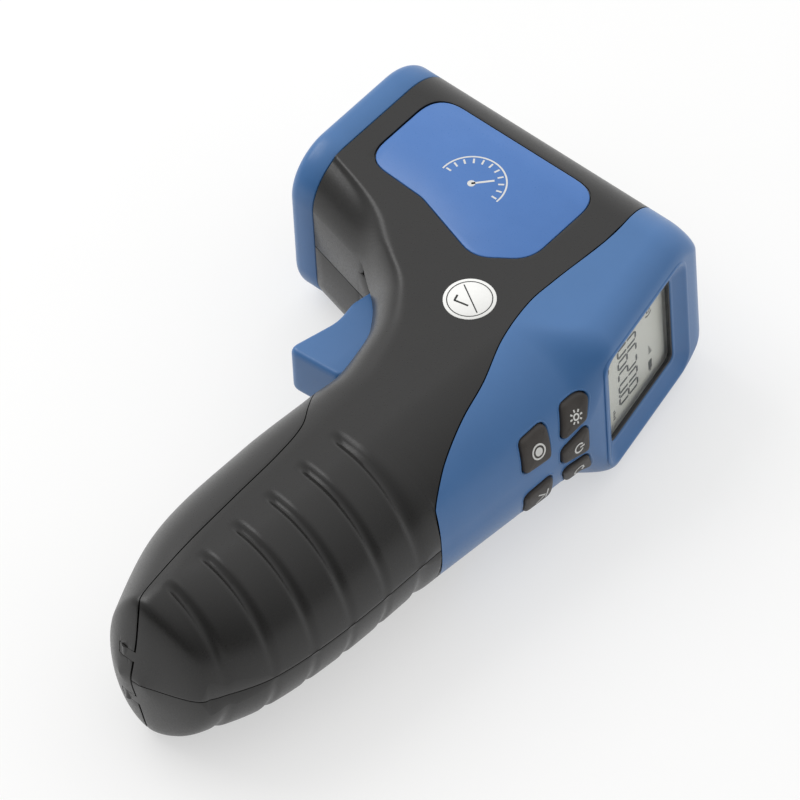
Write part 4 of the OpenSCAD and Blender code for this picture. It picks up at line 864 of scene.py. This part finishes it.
def legend(name, paths, place):
    """Strokes around a place on the rear skin, as thin bands that follow the cap."""
    edges = [stroke(np.asarray(path) * LEGEND_SIZE * [-1, 1] + place, width) for path, width in paths]
    low = KEY_RISE + LEGEND_LIFT
    piece = bands(name + "_legend", edges, lambda edge, lift: on_keys(edge, 0, lift), low, low + LEGEND_T)
    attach(piece, name + "_body")
    return piece


def spokes(inner, outer, angles, width):
    """Short radial strokes between two radii, at angles in degrees."""
    ways = [np.array([np.cos(a), np.sin(a)]) for a in np.radians(angles)]
    return [([inner * way, outer * way], width) for way in ways]


sun = [(arc((0, 0), 0.75, 0, 360), LEGEND_W)] + spokes(1.25, 1.95, np.arange(0, 360, 45), LEGEND_W)
power = [(arc((0, 0), 1.35, 125, 415), LEGEND_W), ([(0, 0.3), (0, 1.7)], LEGEND_W)]
again = [(arc((0, 0), 1.4, 60, 350), LEGEND_W), ([(0.4, 1.95), (0.75, 1.25), (1.3, 1.75)], LEGEND_W)]
record = [(arc((0, 0), 1.9, 0, 360), LEGEND_W), (arc((0, 0), 0.55, 0, 360), 1.1)]
highest = [([(-1.9, -1.3), (0, 1.3), (1.9, -1.3)], LEGEND_W), ([(-1.9, 1.9), (1.9, 1.9)], LEGEND_W)]
SYMBOLS = {"key_light": sun, "key_power": power, "key_auto": again, "key_record": record, "key_max": highest}
legends = [legend(name, paths, KEY_OUTLINES[name].mean(axis=0)) for name, paths in SYMBOLS.items()]
print("legends:", len(legends))

# %% [markdown]
# The screen shows black segments on grey-green liquid crystal. Each segment is a thin bar with pointed ends.
# The segments lie in the air gap between the clear pane and the glass: the pane stops short of the glass, so
# that no two faces meet there.

# %% Screen segments
DIGIT_W, DIGIT_H, BAR_W, BAR_GAP, SLANT = 2.5, 8.3, 0.72, 0.12, 0.1
SEGMENT_OUT, PRINT_T = -PANE_Z - 0.97, 0.02
GLASS_EDGE, PANE_R, PANE_T = 1.5, 1.0, 0.92
LIT = {"0": "abcdef", "2": "abged", "6": "afgedc", "8": "abcdefg"}
ENDS = {"a": ((0, 1), (1, 1)), "b": ((1, 1), (1, 0.5)), "c": ((1, 0.5), (1, 0)), "d": ((0, 0), (1, 0)),
        "e": ((0, 0.5), (0, 0)), "f": ((0, 1), (0, 0.5)), "g": ((0, 0.5), (1, 0.5))}


def bar(start, stop, width):
    """Six corners of a bar with pointed ends, a little short of the points it joins."""
    start, stop = np.asarray(start, float), np.asarray(stop, float)
    along = (stop - start) / np.linalg.norm(stop - start)
    side = np.array([-along[1], along[0]]) * width / 2
    a, b = start + along * BAR_GAP, stop - along * BAR_GAP
    inset = along * width / 2
    return np.array([a, a + inset - side, b - inset - side, b, b - inset + side, a + inset + side])


def flat_shapes(name, shapes, out):
    """Flat outlines on the screen face, each a thin closed plate."""
    points, faces = [], []
    for shape in shapes:
        n, start = len(shape), sum(len(p) for p in points)
        points += [at_height(shape, out), at_height(shape, out + PRINT_T)]
        faces += grid_quads(2, n, start, wrap=True).tolist()
        faces += [list(range(start, start + n))[::-1], list(range(start + n, start + 2 * n))]
    piece = make_piece(name, on_screen(np.concatenate(points)), faces)
    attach(piece, "body")
    return piece


def digit(character, x, y):
    """The lit bars of a character, leaning to the right by SLANT times the height."""
    box = np.array([DIGIT_W, DIGIT_H])
    shapes = [bar(np.array(ENDS[s][0]) * box, np.array(ENDS[s][1]) * box, BAR_W) for s in LIT[character]]
    return [s + np.column_stack([s[:, 1] * SLANT, 0 * s[:, 1]]) + [x, y] for s in shapes]


READING, FIRST_X, DIGIT_STEP, DIGIT_Y, POINT_BACK, POINT_R = "06208", -8.2, 4.0, -6.3, 0.75, 0.4
TARGET, CELL, UNITS = np.array([-8.2, 8.2]), np.array([10.4, 8.0]), np.array([9.6, -9.8])
ICON_W, TARGET_W = 0.42, 0.4
segments = [s for i, c in enumerate(READING) for s in digit(c, FIRST_X + DIGIT_STEP * i, DIGIT_Y)]
segments += [disc_outline((FIRST_X + DIGIT_STEP * 4 - POINT_BACK, DIGIT_Y), POINT_R, 16)]
target_arcs = [arc(TARGET, 0.7, 0, 330, 12), arc(TARGET, 1.7, -50, 50, 9), arc(TARGET, 1.7, 130, 230, 9)]
target_edges = [stroke(path, TARGET_W, len(path)) for path in target_arcs]
target = [np.concatenate([a, b[::-1]]) for a, b in target_edges]
cell = [box_outline(3.0, 1.6, 0.3, 4) + CELL, box_outline(0.5, 0.8, 0.2, 4) + CELL + [1.9, 0]]
units = [bar(UNITS + [0.85 * k, 0], UNITS + [0.85 * k, 1.2 + 0.3 * (k % 2)], ICON_W) for k in range(4)]
signal = [bar(CELL + [0.8 * k - 6.4, -0.7], CELL + [0.8 * k - 6.4, 0.1 + 0.35 * k], ICON_W) for k in range(4)]
icons = target + cell + units + signal + [box_outline(5.6, 2.5, 1.2, 4) + [-7.4, -11.8]]
screen_print = flat_shapes("screen_segments", segments + icons, SEGMENT_OUT)
pane_levels = [(2 * GLASS_EDGE, PANE_R, out) for out in (-PANE_Z - PANE_T, -PANE_Z)]
pane = loft("screen_pane", screen_rings(pane_levels))
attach(pane, "body")
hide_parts("lcd_window")
print("segments and icons:", len(segments), len(icons))

# %% [markdown]
# The side label is a thin printed plate in its recess, and the round sticker is paper. Both carry only plain
# generic marks.

# %% Label and sticker
LABEL_TOP = BODY_T - 0.1
label_outline = drawn_in(rounded(LABEL_CORNERS), LABEL_GAP)
label_levels = [(0, BODY_T - LABEL_D), (0, BODY_T - 0.3), (0.08, BODY_T - 0.18), (0.25, LABEL_TOP)]
label = loft("label_plate", [at_height(drawn_in(label_outline, d), z) for d, z in label_levels], ROUND_DEG)
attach(label, "body")
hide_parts("side_label")
STICKER_AT, STICKER_D, STICKER_T = np.array([19.0, -29.0]), 12.4, 0.12
sticker_levels = [(0, 0), (0, STICKER_T * 0.6), (0.06, STICKER_T)]
sticker = loft("paper_dot", [at_height(disc_outline(STICKER_AT, STICKER_D / 2 - d, 96), BODY_T + z)
                             for d, z in sticker_levels], ROUND_DEG)
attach(sticker, "body")
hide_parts("round_sticker")


def side_print(name, paths, place, turn, z):
    """Flat strokes on the left side, turned about their place and PRINT_T thick."""
    c, s = np.cos(np.radians(turn)), np.sin(np.radians(turn))
    rotation = np.array([[c, s], [-s, c]])
    edges = [stroke(np.asarray(path, float) @ rotation + place, width) for path, width in paths]
    piece = bands(name, edges, at_height, z, z + PRINT_T)
    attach(piece, "body")
    return piece


dial = spokes(6.2, 7.6, np.arange(0, 181, 18), 0.45) + [
    (arc((0, 0), 8.2, -4, 184), 0.4), ([(0, 0), (3.6, 4.0)], 0.55), (arc((0, 0), 0.5, 0, 360), 0.9)]
label_print = side_print("label_dial", dial, (-4, -2), 0, LABEL_TOP)
tick = [([(-4.6, 0.2), (4.6, 0.2)], 0.3), ([(-2.2, -2.2), (-0.9, -3.4), (1.8, -1.0)], 0.5),
        (arc((0, 0), 5.3, 0, 360), 0.25)]
sticker_print = side_print("dot_mark", tick, STICKER_AT, -30, BODY_T + STICKER_T)
print("label and sticker:", len(label.data.polygons), len(sticker.data.polygons), "faces")

# %% [markdown]
# Finishes come next. A colour is written as the sRGB value that the eye reads and is turned into the linear
# value that light is worked out with. Every pattern reads Object coordinates, so its scale is a real size: a
# grain of 0.4 mm is a scale of 1000 / 0.4, because Blender counts in metres.

# %% Material helpers
def linear(hex_colour):
    """sRGB hex as linear red, green, blue and alpha."""
    v = np.array([int(hex_colour[i:i + 2], 16) for i in (1, 3, 5)]) / 255
    return (*np.where(v <= 0.04045, v / 12.92, ((v + 0.055) / 1.055) ** 2.4).tolist(), 1.0)


def add(tree, kind, sockets=(), **settings):
    """Adds a node, gives it its settings, and sets or links each named or numbered socket."""
    made = tree.nodes.new(kind)
    for name, value in settings.items():
        setattr(made, name, value)
    for name, value in dict(sockets).items():
        if isinstance(value, bpy.types.NodeSocket):
            tree.links.new(value, made.inputs[name])
        else:
            made.inputs[name].default_value = value
    return made


def per_mm(size_mm):
    """Texture scale at which one feature of the pattern is about size_mm wide."""
    return 1 / (size_mm * MM)


def moulded(name, dark, light, patch_mm, grain_mm, grain_mm_deep, rough, rough_spread=0.06, **shader):
    """A moulded or coated surface: two near tones in soft patches, a fine grain in roughness and height."""
    material = bpy.data.materials.new(name)
    material.use_nodes = True
    tree = material.node_tree
    tree.nodes.clear()
    place = add(tree, "ShaderNodeTexCoord").outputs["Object"]
    noises = [add(tree, "ShaderNodeTexNoise", {"Vector": place, "Scale": per_mm(size), "Detail": detail,
                                               "Roughness": octave})
              for size, detail, octave in ((patch_mm, 3.0, 0.55), (grain_mm, 2.0, 0.6))]
    patches, grain = [noise.outputs["Fac"] for noise in noises]
    tone = add(tree, "ShaderNodeMix", {0: patches, 6: linear(dark), 7: linear(light)}, data_type="RGBA")
    gloss = add(tree, "ShaderNodeMapRange", {"Value": grain, "From Min": 0.3, "From Max": 0.7,
                                             "To Min": rough - rough_spread, "To Max": rough + rough_spread})
    bump = add(tree, "ShaderNodeBump", {"Height": grain, "Distance": grain_mm_deep * MM, "Strength": 1.0})
    surface = add(tree, "ShaderNodeBsdfPrincipled", {
        "Base Color": tone.outputs[2], "Roughness": gloss.outputs["Result"], "Normal": bump.outputs["Normal"],
        **shader})
    add(tree, "ShaderNodeOutputMaterial", {"Surface": surface.outputs["BSDF"]})
    return material

print("one grain of 0.4 mm is a scale of", round(per_mm(0.4)))

# %% [markdown]
# The shells are ABS moulded in a spark-eroded steel mould. The eroded steel leaves a fine, even grain that
# turns the gloss into a broad satin light. The grain is drawn at 0.45 mm, coarser than the real 0.1 mm,
# because a finer one would not show in the picture. The blue parts come from a smoother mould and have a
# closer gloss.

# %% Plastics, rubber, metals, boards and print
MATERIALS = {
    # Spark-eroded black ABS: a soft, wide highlight and a warm black
    "black_abs": moulded("black_abs_spark_eroded", "#141312", "#1a1918", 9.0, 0.45, 0.008, 0.33, IOR=1.48),
    # Satin blue ABS: smoother, with a tighter light along its edges
    "blue_abs": moulded("blue_abs_satin", "#3a699e", "#4171a8", 12.0, 0.5, 0.006, 0.34, 0.04, IOR=1.53),
    # Printed vinyl plate: brighter blue, nearly flat, with the faint dots of its ink
    "label_vinyl": moulded("label_vinyl_printed", "#4070b2", "#4777ba", 6.0, 0.3, 0.003, 0.30, 0.03, IOR=1.5),
    # Moulded key rubber: dark warm grey, dull, fine powdery grain
    "key_rubber": moulded("key_rubber_moulded", "#35312e", "#403b37", 2.5, 0.35, 0.010, 0.52, IOR=1.45),
    # Liquid crystal glass over its pale panel: light grey-green and silky
    "lcd_cell": moulded("lcd_cell_reflector", "#d0d0c6", "#d8d8ce", 7.0, 0.25, 0.002, 0.38, 0.03, IOR=1.5),
    # Tinted acrylic of the nose window: deep red-black, polished
    "tinted_window": moulded("tinted_acrylic_polished", "#2a0a0e", "#38121a", 15.0, 3.0, 0.002, 0.08, 0.02,
                             IOR=1.49),
    # Black polycarbonate inner mouldings: dull
    "black_moulding": moulded("black_polycarbonate_moulded", "#1f1f21", "#28282b", 6.0, 0.5, 0.010, 0.5,
                              IOR=1.58),
    # Brass laser tube: turned, warm metal
    "brass_tube": moulded("brass_turned", "#b1904f", "#c2a062", 3.0, 0.3, 0.003, 0.30, Metallic=1.0),
    # Black epoxy of chips and print ink: dull, near black
    "black_epoxy": moulded("black_epoxy_moulded", "#161617", "#1f1f20", 1.5, 0.2, 0.006, 0.55, IOR=1.5),
    # Glass-fibre board under green solder resist: glossy, with the weave just showing as patches
    "circuit_board": moulded("solder_resist_green", "#22573a", "#2f6b47", 1.2, 0.8, 0.010, 0.32, IOR=1.5),
    # White polystyrene of the screen frame and light guide: clean, soft gloss
    "white_moulding": moulded("white_polystyrene_moulded", "#dddbd2", "#e8e6de", 5.0, 0.5, 0.006, 0.42,
                              IOR=1.55),
    # Contact strips of carbon-loaded silicone: dusty pink
    "silicone_pink": moulded("silicone_moulded", "#bb5f80", "#cc7393", 1.5, 0.4, 0.012, 0.6, IOR=1.41),
    # Ground pin steel: bright and smooth
    "pin_steel": moulded("pin_steel_ground", "#b4b8bc", "#c6cace", 2.0, 0.2, 0.002, 0.25, Metallic=1.0),
    # Zinc-plated screws with a dark finish: satin metal
    "screw_steel": moulded("screw_steel_black_zinc", "#4c4f53", "#63666b", 1.2, 0.2, 0.004, 0.36,
                           Metallic=1.0),
    # Lacquered steel jacket of the block battery: grey, glossy
    "battery_case": moulded("battery_jacket_lacquered", "#7c8084", "#8f9397", 8.0, 0.6, 0.004, 0.28, IOR=1.5),
    # Coated paper of the sticker: white, faintly fibrous
    "sticker_paper": moulded("sticker_paper_coated", "#ecece9", "#f6f6f3", 1.2, 0.25, 0.004, 0.5, IOR=1.5),
}
legend_ink = moulded("legend_ink_printed", "#d2d2cf", "#dededb", 0.8, 0.2, 0.002, 0.5, IOR=1.5)
screen_ink = moulded("screen_segments_dark", "#101311", "#181b18", 2.0, 0.2, 0.001, 0.45, IOR=1.5)
# Clear acrylic of screen pane and lens: nearly all light goes through, and a thin gloss stays
clear = moulded("clear_acrylic_polished", "#e8eeee", "#f2f6f6", 15.0, 4.0, 0.001, 0.06, 0.02, IOR=1.49,
                Alpha=0.07)
MATERIALS["clear_lens"] = clear
print("materials:", len(MATERIALS) + 2)

# %% [markdown]
# Every CAD node takes the finish of its slot. The pieces made here take the same finishes by name.

# %% Give every piece and every CAD node its finish
def finish_with(piece, material):
    """Makes a material the only one of a piece."""
    piece.data.materials.clear()
    piece.data.materials.append(material)


for part in frame["record"]["subparts"]:
    finish_with(nodes[part["node"]], MATERIALS[part["material_slot"]])
# The black lining of the screen opening takes the dark moulding finish: partly a printed border, partly
# painted shade.
LOOKS = {"black_abs": (left_half, right_half, *webs, door, knuckle, *ears), "sticker_paper": (sticker,),
         "blue_abs": (housing, bezel, *lips, nose, trigger), "key_rubber": keys.values(),
         "label_vinyl": (label,), "black_moulding": (border_and_shade_lining,), "clear_lens": (pane,)}
for material, pieces in [(MATERIALS[slot], pieces) for slot, pieces in LOOKS.items()] + [
        (legend_ink, (*legends, label_print)), (screen_ink, (screen_print, sticker_print))]:
    for piece in pieces:
        finish_with(piece, material)

# %% [markdown]
# The studio is a white sheet under one wide, soft lamp on the side of the nose. A white floor under this
# light is almost as white as paper, and it keeps the soft shadow under the grip. The world is a white room
# that grows brighter towards the top of the barrel, which gives the dark shells their long, soft lights.

# %% Floor, lamp and world
FLOOR_SIDE_MM, FLOOR_GAP_MM, FLOOR_N, PAPER_WHITE = 6000.0, 0.05, 9, 0.55
LAMP_AT_MM, LAMP_AIM_MM, LAMP_SIDE_MM, LAMP_W = (-700, -150, 850), (10.0, -50.0, 20.0), 700, 4.0
BRIGHT_SIDE, FACING, ROOM_LEVELS = (-0.4, 0.62, 0.67), (-0.5, 0.85), (0.2, 1.12)


def studio_floor():
    """A square grid under the part, sunk a hair so that it does not touch it."""
    side = np.linspace(-0.5, 0.5, FLOOR_N) * FLOOR_SIDE_MM
    x, y = np.meshgrid(side, side, indexing="ij")
    points = np.stack([x, y, 0 * x - FLOOR_GAP_MM], axis=-1)
    return make_piece("studio_floor", points, grid_quads(FLOOR_N, FLOOR_N))


floor = studio_floor()
# Matt white paper sweep: nearly even, with a faint tooth; straight to the eye part of it is plain white
paper = moulded("paper_sweep_white", "#f6f6f5", "#fafaf9", 60.0, 1.5, 0.005, 0.9, IOR=1.3)
tree = paper.node_tree
lit = next(n for n in tree.nodes if n.type == "BSDF_PRINCIPLED")
end = next(n for n in tree.nodes if n.type == "OUTPUT_MATERIAL")
rays = add(tree, "ShaderNodeLightPath")
seen = rays.outputs["Is Camera Ray"]
for kind in ("Is Glossy Ray", "Is Transmission Ray"):
    seen = add(tree, "ShaderNodeMath", {0: seen, 1: rays.outputs[kind]}, operation="MAXIMUM").outputs[0]
share = add(tree, "ShaderNodeMath", {0: seen, 1: PAPER_WHITE}, operation="MULTIPLY").outputs[0]
white = add(tree, "ShaderNodeEmission", {"Color": linear("#ffffff"), "Strength": 1.0})
both = add(tree, "ShaderNodeMixShader", {0: share, 1: lit.outputs["BSDF"], 2: white.outputs["Emission"]})
tree.links.new(both.outputs["Shader"], end.inputs["Surface"])
finish_with(floor, paper)


def soft_lamp(name, place_mm, aim_mm, size_mm, watts):
    """A square lamp that looks at a point: its own Z axis points away from it."""
    data = bpy.data.lights.new(name, "AREA")
    data.shape, data.size, data.energy = "SQUARE", size_mm * MM, watts
    lamp = bpy.data.objects.new(name, data)
    place, aim = Vector(place_mm) * MM, Vector(aim_mm) * MM
    lamp.location = place
    lamp.rotation_euler = (place - aim).to_track_quat("Z", "Y").to_euler()
    bpy.context.scene.collection.objects.link(lamp)


soft_lamp("side_box", LAMP_AT_MM, LAMP_AIM_MM, LAMP_SIDE_MM, LAMP_W)
world = bpy.data.worlds.new("white_room")
bpy.context.scene.world = world
world.use_nodes = True
tree = world.node_tree
tree.nodes.clear()
way = add(tree, "ShaderNodeTexCoord").outputs["Generated"]
facing = add(tree, "ShaderNodeVectorMath", {0: way, 1: BRIGHT_SIDE}, operation="DOT_PRODUCT")
level = add(tree, "ShaderNodeMapRange", {"Value": facing.outputs["Value"], "From Min": FACING[0],
                                         "From Max": FACING[1], "To Min": ROOM_LEVELS[0],
                                         "To Max": ROOM_LEVELS[1]})
sky = add(tree, "ShaderNodeBackground", {"Color": linear("#ffffff"), "Strength": level.outputs["Result"]})
add(tree, "ShaderNodeOutputWorld", {"Surface": sky.outputs["Background"]})
bpy.context.scene.view_settings.view_transform = "Standard"
